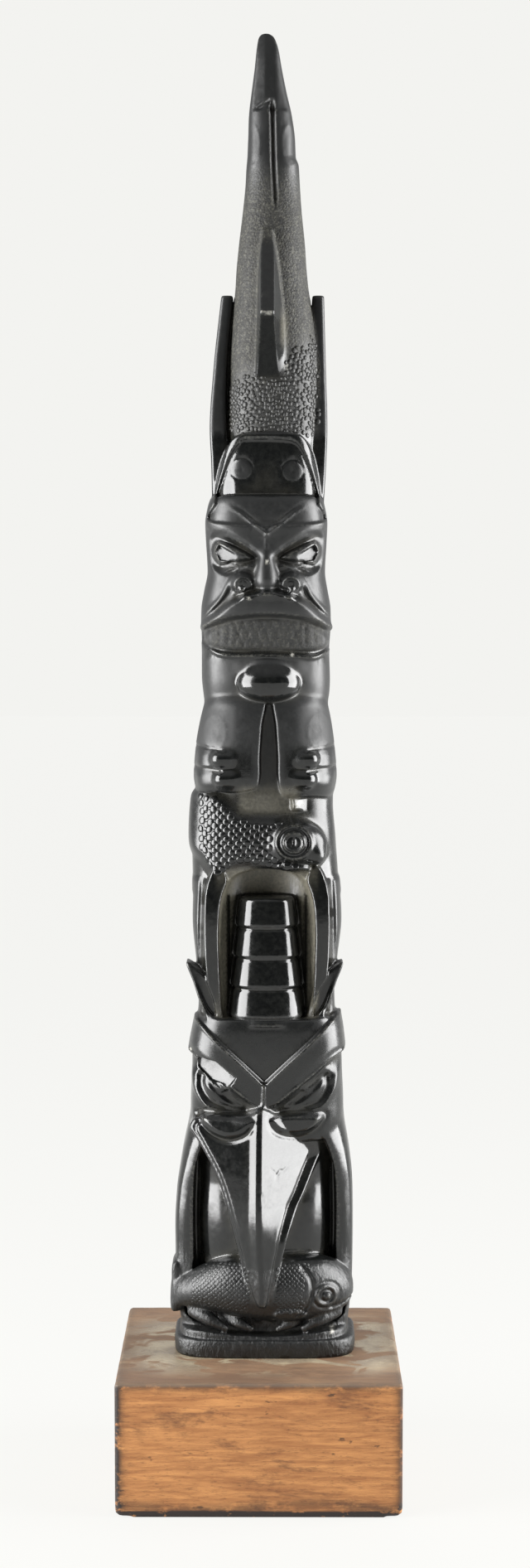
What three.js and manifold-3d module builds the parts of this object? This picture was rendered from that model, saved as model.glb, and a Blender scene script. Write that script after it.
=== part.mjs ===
// A model totem pole: one carving in black argillite that stands on an orange-brown wooden plinth.
// Millimetres, +Z up. The origin is the middle of the plinth's underside and the carving faces -Y.
// From the foot up: a slab, a salmon, a raven with a ringed hat, a scaled sea creature, a bear that
// wears a whale's head as a crest, and the whale's own body, which tapers to the top.
import * as THREE from "three";
import { LoftGeometry } from "three/addons/geometries/LoftGeometry.js";
import { mergeVertices } from "three/addons/utils/BufferGeometryUtils.js";
import Module from "manifold-3d";

const wasm = await Module();
wasm.setup();

// ---------------------------------------------------------------- driving dimensions
const PLINTH = { width: 76, depth: 70, height: 36, edge: 0.9 };
const POLE_X = 1.5; // the carving stands this far right of the plinth's middle
const FOOT_Z = PLINTH.height;
const TOP_Z = 392;
const FRONT_SEGMENTS = 12; // sides of a section round its carved front
const BACK_SEGMENTS = 6; // and round its nearly flat back
const SIDES = [-1, 1];

// ---------------------------------------------------------------- sections and lofts
// A station is one level of a body: height z, half width w, front depth f, back depth b, all measured
// from the pole's own line, with c the sideways shift of its middle and n how square the front is.
const level = (z, w, f, b, c = 0, n = 2.5) => ({ z, w, f, b, c, n });

const power = (value, exponent) => Math.sign(value) * Math.abs(value) ** exponent;

// The ring of one station: a half round front on a flatter back, which meet on the plane y = mid.
function ring(station, grow = 0) {
  const { z, w, f, b, c, n } = station;
  const mid = Math.min(b - 2, 3);
  const backSquareness = 6;
  const points = [];
  for (let i = 0; i < FRONT_SEGMENTS; i++) {
    const a = Math.PI + (Math.PI * i) / FRONT_SEGMENTS;
    const x = c + (w + grow) * power(Math.cos(a), 2 / n);
    points.push(new THREE.Vector3(x, mid + (f + mid + grow) * power(Math.sin(a), 2 / n), z));
  }
  for (let i = 0; i < BACK_SEGMENTS; i++) {
    const a = (Math.PI * i) / BACK_SEGMENTS;
    const x = c + (w + grow) * power(Math.cos(a), 2 / backSquareness);
    points.push(new THREE.Vector3(x, mid + (b - mid) * power(Math.sin(a), 2 / backSquareness), z));
  }
  return points;
}

// A closed mesh as a solid for the boolean library.
function solid(geometry) {
  const bare = new THREE.BufferGeometry();
  bare.setAttribute("position", geometry.getAttribute("position"));
  bare.setIndex(geometry.getIndex());
  const merged = mergeVertices(bare, 1e-4);
  return new wasm.Manifold(
    new wasm.Mesh({
      numProp: 3,
      vertProperties: merged.attributes.position.array,
      triVerts: new Uint32Array(merged.index.array),
    }),
  );
}

const capped = { capStart: true, capEnd: true };
const loft = (sections) => solid(new LoftGeometry(sections, capped));
const body = (stations, grow = 0) => loft(stations.map((s) => ring(s, grow)));

const union = (...solids) => solids.flat(Infinity).reduce((a, b) => a.add(b));

// The outer skin alone, with no pocket shut in between forms that overlap and no slivers.
const SLIVER = 0.02;

function outerSkin(manifold) {
  const shells = manifold.asOriginal().simplify(SLIVER).decompose();
  return shells.reduce((a, b) => (a.volume() > b.volume() ? a : b));
}

// ---------------------------------------------------------------- outlines seen from the front
// A closed outline through [x, z] points, straight or as one smooth line.
function outline(points) {
  return new THREE.Shape(points.map(([x, z]) => new THREE.Vector2(x, z)));
}

function smoothOutline(points, segments) {
  const curve = new THREE.CatmullRomCurve3(
    points.map(([x, z]) => new THREE.Vector3(x, z, 0)),
    true,
    "centripetal",
  );
  return new THREE.Shape(curve.getPoints(segments).slice(0, -1).map((p) => new THREE.Vector2(p.x, p.y)));
}

// A ribbon along a smooth line, as wide as widths says at its start, middle and end.
function ribbon(points, widths, segments = 8) {
  const curve = new THREE.SplineCurve(points.map(([x, z]) => new THREE.Vector2(x, z)));
  const left = [];
  const right = [];
  for (let i = 0; i <= segments; i++) {
    const t = i / segments;
    const p = curve.getPoint(t);
    const along = curve.getTangent(t);
    const width =
      t < 0.5
        ? THREE.MathUtils.lerp(widths[0], widths[1], 2 * t)
        : THREE.MathUtils.lerp(widths[1], widths[2], 2 * t - 1);
    const aside = new THREE.Vector2(-along.y, along.x).multiplyScalar(width / 2);
    left.push(p.clone().add(aside));
    right.unshift(p.clone().sub(aside));
  }
  return new THREE.Shape([...left, ...right]);
}

const flip = (points, side) => points.map(([x, z]) => [side * x, z]);

// An outline pushed forward from y = back to y = back - depth.
function push(shape, depth, back = 0) {
  const geometry = new THREE.ExtrudeGeometry(shape, { depth, bevelEnabled: false });
  geometry.rotateX(Math.PI / 2);
  geometry.translate(0, back, 0);
  return solid(geometry);
}

const REACH = 40; // farther forward than any part of the carving
const raised = (stations, shape, height) => push(shape, REACH, 2).intersect(body(stations, height));
const sunk = (stations, shape, depth) => push(shape, REACH, 2).subtract(body(stations, -depth));

// ---------------------------------------------------------------- round forms
function egg([x, y, z], [rx, ry, rz], { tilt = 0, across = 10, up = 6 } = {}) {
  const geometry = new THREE.SphereGeometry(1, across, up);
  geometry.rotateX(Math.PI / 2);
  geometry.scale(rx, ry, rz);
  geometry.rotateY(-tilt);
  geometry.translate(x, y, z);
  return solid(geometry);
}

// A tapering limb through ball-like stations [x, y, z, rx, ry], stacked from low to high.
function limb(stations, sides = 10) {
  return loft(
    stations.map(([x, y, z, rx, ry]) =>
      Array.from({ length: sides }, (_, i) => {
        const a = (2 * Math.PI * i) / sides;
        return new THREE.Vector3(x + rx * Math.cos(a), y + ry * Math.sin(a), z);
      }),
    ),
  );
}

// ---------------------------------------------------------------- the foot slab
function footSlab() {
  const step = FOOT_Z + 4.6;
  const lower = [
    level(FOOT_Z, 24.3, 12.8, 11.6, 0, 3.2),
    level(FOOT_Z + 0.8, 24.9, 13.4, 12, 0, 3.2),
    level(step - 0.6, 24.9, 13.4, 12, 0, 3.2),
    level(step, 24.2, 12.9, 11.8, 0, 3.2),
  ];
  const upper = [
    level(step - 0.5, 23.3, 12.2, 11.6, 0, 3),
    level(step + 2, 23.3, 12.2, 11.6, 0, 3),
    level(step + 2.8, 22.4, 11.4, 11.4, 0, 3),
  ];
  return union(body(lower), body(upper));
}

// ---------------------------------------------------------------- the raven
const RAVEN_CHEST = [
  level(42, 20, 10, 11.4, 0, 2.3),
  level(50, 19.5, 10, 11.5, 0, 2.3),
  level(80, 19, 9.6, 11.5, 0, 2.2),
  level(100, 19, 10.5, 11.5, 0.3, 2.4),
];
const RAVEN_WINGS = [
  level(40, 22.6, 7, 11.2, 0, 4),
  level(50, 23.8, 7.6, 11.4, -0.2, 4),
  level(57, 24.3, 8.5, 11.6, -0.2, 4),
  level(70, 24.5, 9, 11.8, -0.2, 4),
  level(80, 24.2, 9.6, 11.8, 0, 4),
  level(88, 23.4, 10.4, 11.8, 0.4, 3.6),
  level(98, 21.8, 11, 11.8, 0.6, 3),
];
const WING_INNER_EDGE = 19.4;
const RAVEN_HEAD = [
  level(95, 20.4, 9.5, 11.8, 0.6, 2.6),
  level(99, 21.4, 12.2, 11.8, 0.6, 2.6),
  level(104, 21.5, 13.8, 11.8, 0.6, 2.7),
  level(113, 20.8, 14, 11.8, 0.5, 2.7),
  level(119, 21.2, 14.2, 11.8, 0.5, 2.7),
  level(125, 20.6, 13.8, 11.8, 0.7, 2.7),
  level(128.8, 19.6, 12.6, 11.6, 0.8, 2.7),
];
const BEAK = { top: 106, tip: 52.4, middle: -0.8 };

// One mandible: a keel with straight flanks that closes on the beak's tip.
function mandible(tip, top, steps = 5) {
  const sections = [];
  for (let i = 0; i <= steps; i++) {
    const t = i / steps;
    const z = THREE.MathUtils.lerp(BEAK.tip + tip.lift, BEAK.top, t);
    const half = THREE.MathUtils.lerp(tip.half, top.half, t);
    const swell = Math.sin(Math.PI * Math.min(1, t * 1.05));
    const edge = THREE.MathUtils.lerp(tip.edge, top.edge, t) + 1.2 * swell;
    const crest = THREE.MathUtils.lerp(tip.crest, top.crest, t) + 3 * swell;
    const cheek = edge * 0.45 + crest * 0.55;
    const x = BEAK.middle;
    sections.push([
      new THREE.Vector3(x - half, 0, z),
      new THREE.Vector3(x - half, -edge, z),
      new THREE.Vector3(x - half * 0.45, -cheek, z),
      new THREE.Vector3(x, -crest, z),
      new THREE.Vector3(x + half * 0.45, -cheek, z),
      new THREE.Vector3(x + half, -edge, z),
      new THREE.Vector3(x + half, 0, z),
    ]);
  }
  return loft(sections);
}

function ravenBeak() {
  const lower = mandible(
    { lift: 1, half: 2.6, edge: 15.6, crest: 16.6 },
    { half: 19.6, edge: 8.4, crest: 13 },
  );
  const upper = mandible(
    { lift: 0, half: 1.6, edge: 17, crest: 18.4 },
    { half: 15.6, edge: 11.6, crest: 15.4 },
  );
  const cheeks = SIDES.map((side) =>
    egg([BEAK.middle + side * 8.8, -12.6, 101.6], [6.8, 3.8, 3.9], { tilt: side * 0.1 }),
  );
  return union(lower, upper, cheeks);
}

function ravenHead() {
  const brow = (side) =>
    raised(
      RAVEN_HEAD,
      outline(flip([[-1, 104.8], [-1, 111], [18.4, 128], [24, 129.4], [24, 117], [16.4, 116.4]], side)),
      1.3,
    );
  const socket = (side) =>
    sunk(
      RAVEN_HEAD,
      smoothOutline(
        flip([[2.6, 105.6], [9.5, 102.6], [15.5, 104.5], [18.2, 111], [17.4, 116.2], [9.6, 110.4]], side),
        12,
      ),
      1.4,
    );
  const eye = (side) => egg([side * 11.8, -10.9, 109], [6.4, 3.2, 2.7], { tilt: side * 0.55 });
  const head = body(RAVEN_HEAD).subtract(union(SIDES.map(socket)));
  return union(head, SIDES.map(brow), SIDES.map(eye));
}

function ravenEars() {
  const ear = (side) => {
    const leaf = [[9, 126], [15, 126], [18.6, 135.5], [21, 143.4], [17, 142.4], [11.8, 136.5]];
    return push(outline(flip(leaf, side)), 9, -1);
  };
  const hollow = (side) =>
    push(outline(flip([[10.6, 129.5], [14.4, 129.5], [18.6, 141], [13, 136.4]], side)), 3, -8.6);
  return union(SIDES.map(ear)).subtract(union(SIDES.map(hollow)));
}

// The ringed hat: drums that narrow upwards, parted by shallow grooves.
const HAT = { foot: 127, top: 161.6, rings: 4, lowRadius: 10.4, highRadius: 7.9, middle: 0.6 };

function ringedHat() {
  const groove = 0.55;
  const pitch = (HAT.top - HAT.foot) / HAT.rings;
  const profile = [new THREE.Vector2(0, HAT.foot)];
  for (let i = 0; i < HAT.rings; i++) {
    const z = HAT.foot + i * pitch;
    const low = THREE.MathUtils.lerp(HAT.lowRadius, HAT.highRadius, i / HAT.rings);
    const high = THREE.MathUtils.lerp(HAT.lowRadius, HAT.highRadius, (i + 0.8) / HAT.rings);
    profile.push(new THREE.Vector2(low - groove, z), new THREE.Vector2(low, z + groove));
    profile.push(new THREE.Vector2(high, z + pitch - groove), new THREE.Vector2(high - groove, z + pitch));
  }
  profile.push(new THREE.Vector2(0, HAT.top));
  const geometry = new THREE.LatheGeometry(profile, 18);
  geometry.rotateX(Math.PI / 2);
  geometry.translate(HAT.middle, -3.6, 0);
  return solid(geometry);
}

// The wings fold down the sides, with the breast set back between them.
function ravenBody() {
  const w = WING_INNER_EDGE;
  const opening = smoothOutline([[-w, 50], [-w, 80], [-w + 1.5, 96], [w - 1.5, 96], [w, 80], [w, 50]], 12);
  const wings = body(RAVEN_WINGS).subtract(push(opening, REACH, -3));
  return union(wings, body(RAVEN_CHEST));
}

// Claws that grip the slab under the salmon, three to a foot.
function talons() {
  const claw = (x, z, tilt) => egg([x, -11, z], [5.2, 2.4, 1.7], { tilt, across: 8 });
  return union(
    SIDES.map((side) => [claw(side * 15.5, 45.6, side * 0.42), claw(side * 7, 43.8, side * 0.3)]),
  );
}

// ---------------------------------------------------------------- the salmon across the raven's feet
function salmon() {
  const stations = [
    [-24.6, 51.4, 3.2, 3.2],
    [-21, 52.6, 4, 4.4],
    [-15, 54.4, 6, 5.6],
    [-8, 55.3, 8, 6.4],
    [0, 55.6, 8.8, 6.8],
    [8, 55.6, 8.6, 6.8],
    [15, 55.4, 7.6, 6.6],
    [20, 54.8, 6.2, 6],
    [23.4, 54.2, 4, 4.2],
    [24.6, 54, 1.6, 2],
  ];
  const sides = 10;
  const bend = (x) => 0.011 * x * x; // the fish follows the round of the front
  const sections = stations.map(([x, z, high, deep]) =>
    Array.from({ length: sides }, (_, i) => {
      const a = (2 * Math.PI * i) / sides;
      return new THREE.Vector3(x, -10.4 + bend(x) + deep * Math.cos(a), z + high * Math.sin(a));
    }),
  );
  const eye = egg([16.4, -14.9, 54.6], [3.1, 1.8, 3.1]);
  const fluke = [[-25.2, 48.6], [-25.5, 54], [-25.2, 60], [-23, 60.2], [-19, 55], [-18.6, 51], [-22, 48]];
  const tail = push(outline(fluke), 9.4, 3);
  return union(loft(sections), eye, tail);
}

// ---------------------------------------------------------------- the sea creature over the ringed hat
const NICHE_SIDES = [
  level(124, 19, 5, 11.6, 0.4, 2.8),
  level(135, 18.6, 5.6, 11.5, 0.4, 2.8),
  level(144, 19.2, 6.4, 11.5, 0.4, 2.8),
  level(155, 20.4, 7.6, 11.4, 0.6, 2.7),
  level(165, 19.8, 8.4, 11.4, 0.4, 2.6),
];
const CREATURE_CORE = [
  level(163, 20, 8.6, 11.4, 0.6, 2.6),
  level(168, 19.9, 10.2, 11.4, 0, 2.6),
  level(176, 19.6, 10.4, 11.3, -0.3, 2.6),
  level(184, 18.9, 9.6, 11.2, -0.3, 2.6),
  level(189, 18.6, 9, 11.2, 0.1, 2.6),
];

function creature() {
  const scaled = raised(
    CREATURE_CORE,
    smoothOutline(
      [
        [-19, 187.6], [-12, 188.2], [-7, 184.2], [0, 182.4], [8, 182.6], [13.4, 179], [15.8, 174],
        [13, 169.6], [5, 169.4], [-4, 171], [-9, 169.4], [-13, 164.6], [-19, 166],
      ],
      26,
    ),
    3.2,
  );
  const head = egg([8.2, -10.8, 176], [8, 4.6, 6.4], { across: 12, up: 8 });
  const eyeRing = egg([7.8, -14.4, 177], [4.2, 2, 4.2]);
  const nose = egg([14, -11.4, 174.4], [2.6, 3, 3.2], { across: 8 });
  const jaw = raised(CREATURE_CORE, ribbon([[3, 168.8], [8.5, 169.4], [14, 166.8]], [1.2, 2.6, 1.6], 6), 2);
  return union(body(CREATURE_CORE), scaled, head, eyeRing, nose, jaw);
}

// The creature's legs come down on either side of a deep niche that holds the hat.
function creatureLegs() {
  const sides = body(NICHE_SIDES);
  const arch = smoothOutline(
    [
      [-12.6, 120], [-13.2, 140], [-13.4, 154], [-12, 164], [0.6, 169],
      [13.4, 164], [14.8, 154], [14.4, 140], [13.6, 120],
    ],
    18,
  );
  const leg = (side) =>
    limb([
      [0.6 + side * 15.2, -3, 127, 2, 4.6],
      [0.6 + side * 16.2, -4.6, 137, 2.2, 5.6],
      [0.6 + side * 16.4, -6, 148, 2.3, 6.6],
      [0.6 + side * 16.2, -6.4, 158, 2.8, 7],
      [0.6 + side * 15.8, -6, 167, 3.4, 6.6],
    ]);
  return union(sides.subtract(push(arch, REACH, 4.5)), SIDES.map(leg));
}

// ---------------------------------------------------------------- the bear
const BEAR_BODY = [
  level(186, 17, 9.2, 11.2, 0.2, 2.6),
  level(200, 16.8, 9.6, 11, 0.3, 2.6),
  level(215, 15.8, 10, 10.8, 0.2, 2.6),
];
const BEAR_ARMS = [
  level(187.5, 17.4, 10.4, 10.8, 0.2, 2.4),
  level(190, 18.9, 12.8, 11, 0.2, 2.4),
  level(194, 19.5, 14, 11, 0.2, 2.4),
  level(202, 18.8, 13.8, 11, 0.2, 2.4),
  level(210, 17.8, 12.8, 11, 0.3, 2.4),
  level(216, 16.4, 10.8, 11, 0.4, 2.4),
];
const BEAR_HEAD = [
  level(212.5, 16.2, 9, 10.8, 0.4, 2.5),
  level(216.5, 17.2, 11, 10.8, 0.4, 2.6),
  level(220.5, 17.4, 12.2, 10.8, 0.4, 2.7),
  level(227, 17.3, 12.6, 10.8, 0.2, 2.8),
  level(234, 17.6, 13.4, 10.8, 0.4, 2.8),
  level(242, 17.1, 13.4, 10.8, 0.3, 2.8),
  level(248, 16, 12.2, 10.8, 0.4, 2.8),
  level(258, 16.4, 12.6, 10.6, 0.4, 2.8),
  level(263, 16.4, 12.8, 10.6, 0.4, 2.8),
  level(267, 15.6, 12.2, 10.6, 0.4, 2.8),
  level(269.4, 14.6, 10.8, 10.6, 0.5, 2.8),
];
const FACE_X = 0.6; // the bear's face sits a little right of the pole's line
const onFace = (points) => points.map(([x, z]) => [x + FACE_X, z]);

function bearArms() {
  const arm = (side) => {
    const edge = side < 0 ? 1.2 : 3.6;
    const points = [
      [edge, 214.6], [edge + 0.4, 203], [edge + 1, 192.6], [edge + 4, 189.8],
      [14, 188.4], [24, 187], [24, 209], [16.6, 215.4], [10, 216],
    ];
    return push(outline(flip(points, side)), REACH, 6).intersect(body(BEAR_ARMS));
  };
  const shoulder = (side) => egg([0.4 + side * 14, -7.8, 206.6], [3.2, 3.8, 4.6]);
  const finger = (side, i) => egg([0.4 + side * 17, -6, 199.6 - i * 3.9], [2.6, 7, 1.7]);
  return union(
    body(BEAR_BODY),
    SIDES.map((side) => [arm(side), shoulder(side), [0, 1, 2].map((i) => finger(side, i))]),
  );
}

function bearHead() {
  const browEdge = [[-0.6, 253.6], [-0.6, 260], [9.6, 265.8], [15.4, 265], [15.6, 260.6], [9, 258.8]];
  const brow = (side) => raised(BEAR_HEAD, outline(onFace(flip(browEdge, side))), 0.9);
  const socket = (side) =>
    sunk(
      BEAR_HEAD,
      smoothOutline(
        onFace(flip([[2, 253.6], [8.4, 258.4], [13.4, 259.2], [14, 254], [11, 248.6], [6.4, 250]], side)),
        12,
      ),
      1.5,
    );
  const eye = (side) => egg([FACE_X + side * 9, -9.6, 254], [4.6, 2.9, 2.3], { tilt: side * 0.12 });
  const nose = loft(
    [
      [243.6, 7.2, 12, 14.2],
      [246, 6.6, 12.4, 16.4],
      [250, 3, 12, 14.6],
      [256, 1.7, 11.5, 13.8],
    ].map(([z, half, edge, crest]) => [
      new THREE.Vector3(FACE_X - half, 0, z),
      new THREE.Vector3(FACE_X - half, -edge, z),
      new THREE.Vector3(FACE_X - half * 0.4, -crest, z),
      new THREE.Vector3(FACE_X + half * 0.4, -crest, z),
      new THREE.Vector3(FACE_X + half, -edge, z),
      new THREE.Vector3(FACE_X + half, 0, z),
    ]),
  );
  const nostrils = SIDES.map((side) => egg([FACE_X + side * 6.2, -12.8, 246], [3, 2.6, 2.4]));
  const upperLip = raised(
    BEAR_HEAD,
    smoothOutline(
      [
        [-17.6, 233.4], [-9, 241], [-3, 243.8], [4, 243.8], [10, 241.4], [18.6, 233.4],
        [10, 236.4], [0.6, 237.4], [-9, 236.4],
      ],
      20,
    ),
    2.6,
  );
  const mouth = sunk(
    BEAR_HEAD,
    smoothOutline(
      [[-15, 232.4], [-8, 237], [9, 237], [16, 232.4], [14.6, 228], [0.6, 227.4], [-13.6, 228]],
      16,
    ),
    0.9,
  );
  const lowerLip = raised(
    BEAR_HEAD,
    ribbon([[-15.4, 229.4], [-9, 227.6], [0.6, 227.4], [10, 227.6], [16.6, 229.4]], [1, 1.7, 1]),
    1.3,
  );
  const chin = egg([FACE_X + 0.3, -10.4, 221.4], [9, 5.2, 6.6], { across: 12, up: 8 });
  return union(
    body(BEAR_HEAD).subtract(union(SIDES.map(socket), mouth)),
    SIDES.map((side) => [brow(side), eye(side)]),
    nose, nostrils, upperLip, lowerLip, chin,
  );
}

// ---------------------------------------------------------------- the crest on the bear's brow
const CREST_BODY = [
  level(267, 15, 10, 10.4, 0.8, 2.6),
  level(271, 14.8, 9.6, 10.4, 0.8, 2.6),
  level(286, 13, 8.6, 10.2, 0.8, 2.6),
  level(289, 12.4, 8.2, 10.2, 0.8, 2.6),
];
const CREST_EDGE = [
  [-14.4, 267], [-13.4, 273], [-11.4, 279.4], [-9.4, 283.4], [-6.6, 285.4],
  [7.6, 285.6], [10.6, 284], [13, 280], [15.2, 273], [16, 267],
];

function crest() {
  const inner = CREST_EDGE.map(([x, z]) => [0.8 + (x - 0.8) * 0.87, 267 + (z - 267) * 0.9]);
  const plate = push(outline(CREST_EDGE), REACH, 4).intersect(body(CREST_BODY, 1.2));
  const panel = sunk(CREST_BODY, outline(inner), -0.3);
  return plate.subtract(panel);
}

// ---------------------------------------------------------------- the whale that rises to the top
const WHALE = [
  level(266, 12.4, 6, 10, 1.6, 2.3),
  level(290, 12.2, 8.4, 9.8, 2, 2.3),
  level(304, 12, 8.4, 9.7, 2.2, 2.2),
  level(314, 11, 7.6, 9.5, 2.1, 2.2),
  level(325, 9.6, 6.6, 9.4, 1.8, 2.2),
  level(341, 8.2, 5, 9.2, 2, 2.2),
  level(351, 7.3, 4, 9, 2, 2.3),
  level(357.4, 7, 3.4, 8.8, 2, 2.4),
  level(359.6, 6.4, 3, 8.7, 1.9, 2.4),
  level(366, 6.2, 2.2, 8.5, 1.7, 2.3),
  level(374, 5.2, 1, 8.2, 1.3, 2.2),
  level(381, 3.9, -0.4, 7.8, 1, 2.1),
  level(388, 2.7, -1.8, 7.2, 0.6, 2),
  level(TOP_Z, 1.1, -3, 6, 0.1, 2),
];

// The dorsal fin: its leading edge leaves the back high up, and it is hollowed below its tip.
function dorsalFin() {
  const x = 0.6;
  const section = (z, left, right, base, tip, blunt) => [
    new THREE.Vector3(x - left, 2, z),
    new THREE.Vector3(x - left, -base, z),
    new THREE.Vector3(x - blunt, -tip, z),
    new THREE.Vector3(x + blunt, -tip, z),
    new THREE.Vector3(x + right, -base, z),
    new THREE.Vector3(x + right, 2, z),
  ];
  return loft([
    section(301, 3.2, 5.6, 8.2, 9, 2.6),
    section(306, 3, 5, 8, 12, 2.4),
    section(311.6, 2.8, 4.6, 7.8, 17, 2),
    section(315.4, 2.7, 4.2, 7.4, 20.6, 1.9),
    section(318, 2.6, 4, 7, 20, 2),
    section(328, 2.4, 3, 6.2, 13, 1.8),
    section(336, 2.1, 2.3, 5.2, 7.8, 1.4),
    section(340, 1.4, 1.6, 4.4, 5.4, 1),
  ]);
}

// The pectoral fins lie along the sides as upright plates.
function sideFins() {
  const fin = (side) => {
    const outer = side < 0 ? [14.6, 15, 13.7, 11.6] : [15.8, 16.8, 16.4, 15.9];
    const inner = outer.map((x) => x - 5.4);
    const heights = [268.4, 285, 303, 322.8];
    const front = [2.4, 3, 1.6, -0.6];
    return loft(
      heights.map((z, i) => {
        const corners = [
          [outer[i], -front[i]],
          [outer[i] - 0.4, 8.6],
          [inner[i], 9.2],
          [inner[i] + 1.4, -front[i]],
        ];
        const ordered = side < 0 ? corners.reverse() : corners;
        return ordered.map(([x, y]) => new THREE.Vector3(side * x, y, z));
      }),
    );
  };
  return union(SIDES.map(fin));
}

function whale() {
  const eye = (side) => egg([1.7 + side * 5.2, 1.6, 362.4], [1.9, 3, 4]);
  const slit = sunk(WHALE, ribbon([[1.6, 374.4], [2, 360], [2.8, 345]], [0.4, 1, 0.6], 4), 0.7);
  return union(body(WHALE).subtract(slit), SIDES.map(eye), dorsalFin(), sideFins());
}

// ---------------------------------------------------------------- the two pieces
function argillitePole() {
  const carved = union(
    footSlab(), ravenBody(), talons(), salmon(), ravenHead(), ravenBeak(), ravenEars(), creatureLegs(),
    ringedHat(), creature(), bearArms(), bearHead(), crest(), whale(),
  );
  return outerSkin(carved).translate([POLE_X, 0, 0]);
}

function plinthGeometry() {
  const { width, depth, height, edge } = PLINTH;
  const x = width / 2 - edge;
  const y = depth / 2 - edge;
  const shape = new THREE.Shape([
    new THREE.Vector2(-x, -y), new THREE.Vector2(x, -y), new THREE.Vector2(x, y), new THREE.Vector2(-x, y),
  ]);
  const geometry = new THREE.ExtrudeGeometry(shape, {
    depth: height - 2 * edge, bevelSize: edge, bevelThickness: edge, bevelSegments: 2,
  });
  return geometry.translate(0, 0, edge);
}

function geometryOf(manifold) {
  const { vertProperties, triVerts } = manifold.getMesh();
  const geometry = new THREE.BufferGeometry();
  geometry.setAttribute("position", new THREE.BufferAttribute(new Float32Array(vertProperties), 3));
  geometry.setIndex(new THREE.BufferAttribute(new Uint32Array(triVerts), 1));
  geometry.computeVertexNormals();
  return geometry;
}

const argillite = new THREE.MeshStandardMaterial({ color: 0x1c1d1d, roughness: 0.3, metalness: 0 });
const wood = new THREE.MeshStandardMaterial({ color: 0xb4713a, roughness: 0.55, metalness: 0 });

const pole = new THREE.Mesh(geometryOf(argillitePole()), argillite);
pole.name = "carved_pole";

const plinth = new THREE.Mesh(plinthGeometry(), wood);
plinth.name = "wooden_plinth";

const totem = new THREE.Group();
totem.add(plinth, pole);

export default totem;
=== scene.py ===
"""A model totem pole: one carving in polished black argillite on a stained wooden plinth.

The carving is cut from a block of distances, as a carver cuts a blank: bodies are added section by
section, hollows are cut, and low relief is laid on or sunk in. All sizes here are millimetres from
the pole's own line (x to the viewer's right, y to the back, z up from the plinth's underside).
"""
import math

import bpy
import numpy as np
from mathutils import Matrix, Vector


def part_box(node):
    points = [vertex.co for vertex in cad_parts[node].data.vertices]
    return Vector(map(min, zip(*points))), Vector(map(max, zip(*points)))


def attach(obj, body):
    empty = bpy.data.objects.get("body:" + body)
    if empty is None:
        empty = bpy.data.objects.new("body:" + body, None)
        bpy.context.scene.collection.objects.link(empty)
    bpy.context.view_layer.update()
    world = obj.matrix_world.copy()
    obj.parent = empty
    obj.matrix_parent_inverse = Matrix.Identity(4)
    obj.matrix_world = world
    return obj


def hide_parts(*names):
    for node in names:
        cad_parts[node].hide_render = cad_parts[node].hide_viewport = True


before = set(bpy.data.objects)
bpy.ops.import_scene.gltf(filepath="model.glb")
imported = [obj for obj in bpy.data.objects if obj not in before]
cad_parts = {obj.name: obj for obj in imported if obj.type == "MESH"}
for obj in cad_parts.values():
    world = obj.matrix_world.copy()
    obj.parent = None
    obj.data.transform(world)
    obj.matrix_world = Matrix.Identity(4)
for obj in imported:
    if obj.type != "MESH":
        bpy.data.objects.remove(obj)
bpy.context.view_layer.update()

MM = 0.001
POLE_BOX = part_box("carved_pole")
PLINTH_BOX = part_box("wooden_plinth")
SLAB_HALF_WIDTH = 24.9
POLE_X = POLE_BOX[1].x / MM - SLAB_HALF_WIDTH  # the pole's own line, from the plinth's middle
FOOT_Z = PLINTH_BOX[1].z / MM
GRAIN = 0.42  # how finely the stone is carved
SKIN_TRIANGLES = 190000
FAR_FRONT = -30.0  # in front of everything
OUTSIDE = 12.0  # what the block of distances says where there is no stone yet
SIDES = (-1, 1)  # left and right
FULL_TURN = 2 * math.pi


# ---------------- blending distances
def smooth_min(a, b, blend):
    """The nearer of two surfaces, with a fillet where they meet."""
    if blend <= 0:
        return np.minimum(a, b)
    h = np.maximum(blend - np.abs(a - b), 0) / blend
    return np.minimum(a, b) - h * h * (blend / 4)


def smooth_max(a, b, blend):
    """Where two bodies overlap, or where one is cut by another, with a fillet."""
    return -smooth_min(-a, -b, blend)


def ramp(distance, edge):
    """1 inside an edge, 0 outside it, and smooth across its width."""
    t = np.clip(0.5 - distance / edge, 0, 1)
    return t * t * (3 - 2 * t)


def between(z, stations, values):
    """A smooth line through the stations that never overshoots them."""
    stations, values = np.asarray(stations, float), np.asarray(values, float)
    run = np.diff(stations)
    slope = np.diff(values) / run
    tangent = np.zeros_like(values)
    same_way = slope[:-1] * slope[1:] > 0
    harmonic = 2 * slope[:-1] * slope[1:] / np.where(same_way, slope[:-1] + slope[1:], 1)
    tangent[1:-1] = np.where(same_way, harmonic, 0)
    tangent[0], tangent[-1] = slope[0], slope[-1]
    i = np.clip(np.searchsorted(stations, z) - 1, 0, len(run) - 1)
    t = np.clip((z - stations[i]) / run[i], 0, 1)
    a, b = values[i], values[i + 1]
    start, end = tangent[i] * run[i], tangent[i + 1] * run[i]
    return (
        a * (2 * t**3 - 3 * t**2 + 1) + start * (t**3 - 2 * t**2 + t)
        + b * (3 * t**2 - 2 * t**3) + end * (t**3 - t**2)
    )


def by_height(z, stations, values):
    """A value for each height, in the shape of the block's z."""
    return between(z.ravel(), stations, values)[None, None, :]


def masked(edge, x, z):
    """Signed distance to a closed outline, in the shape of the block."""
    return inside(edge, x[:, 0, :], z[0])[:, None, :]


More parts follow.
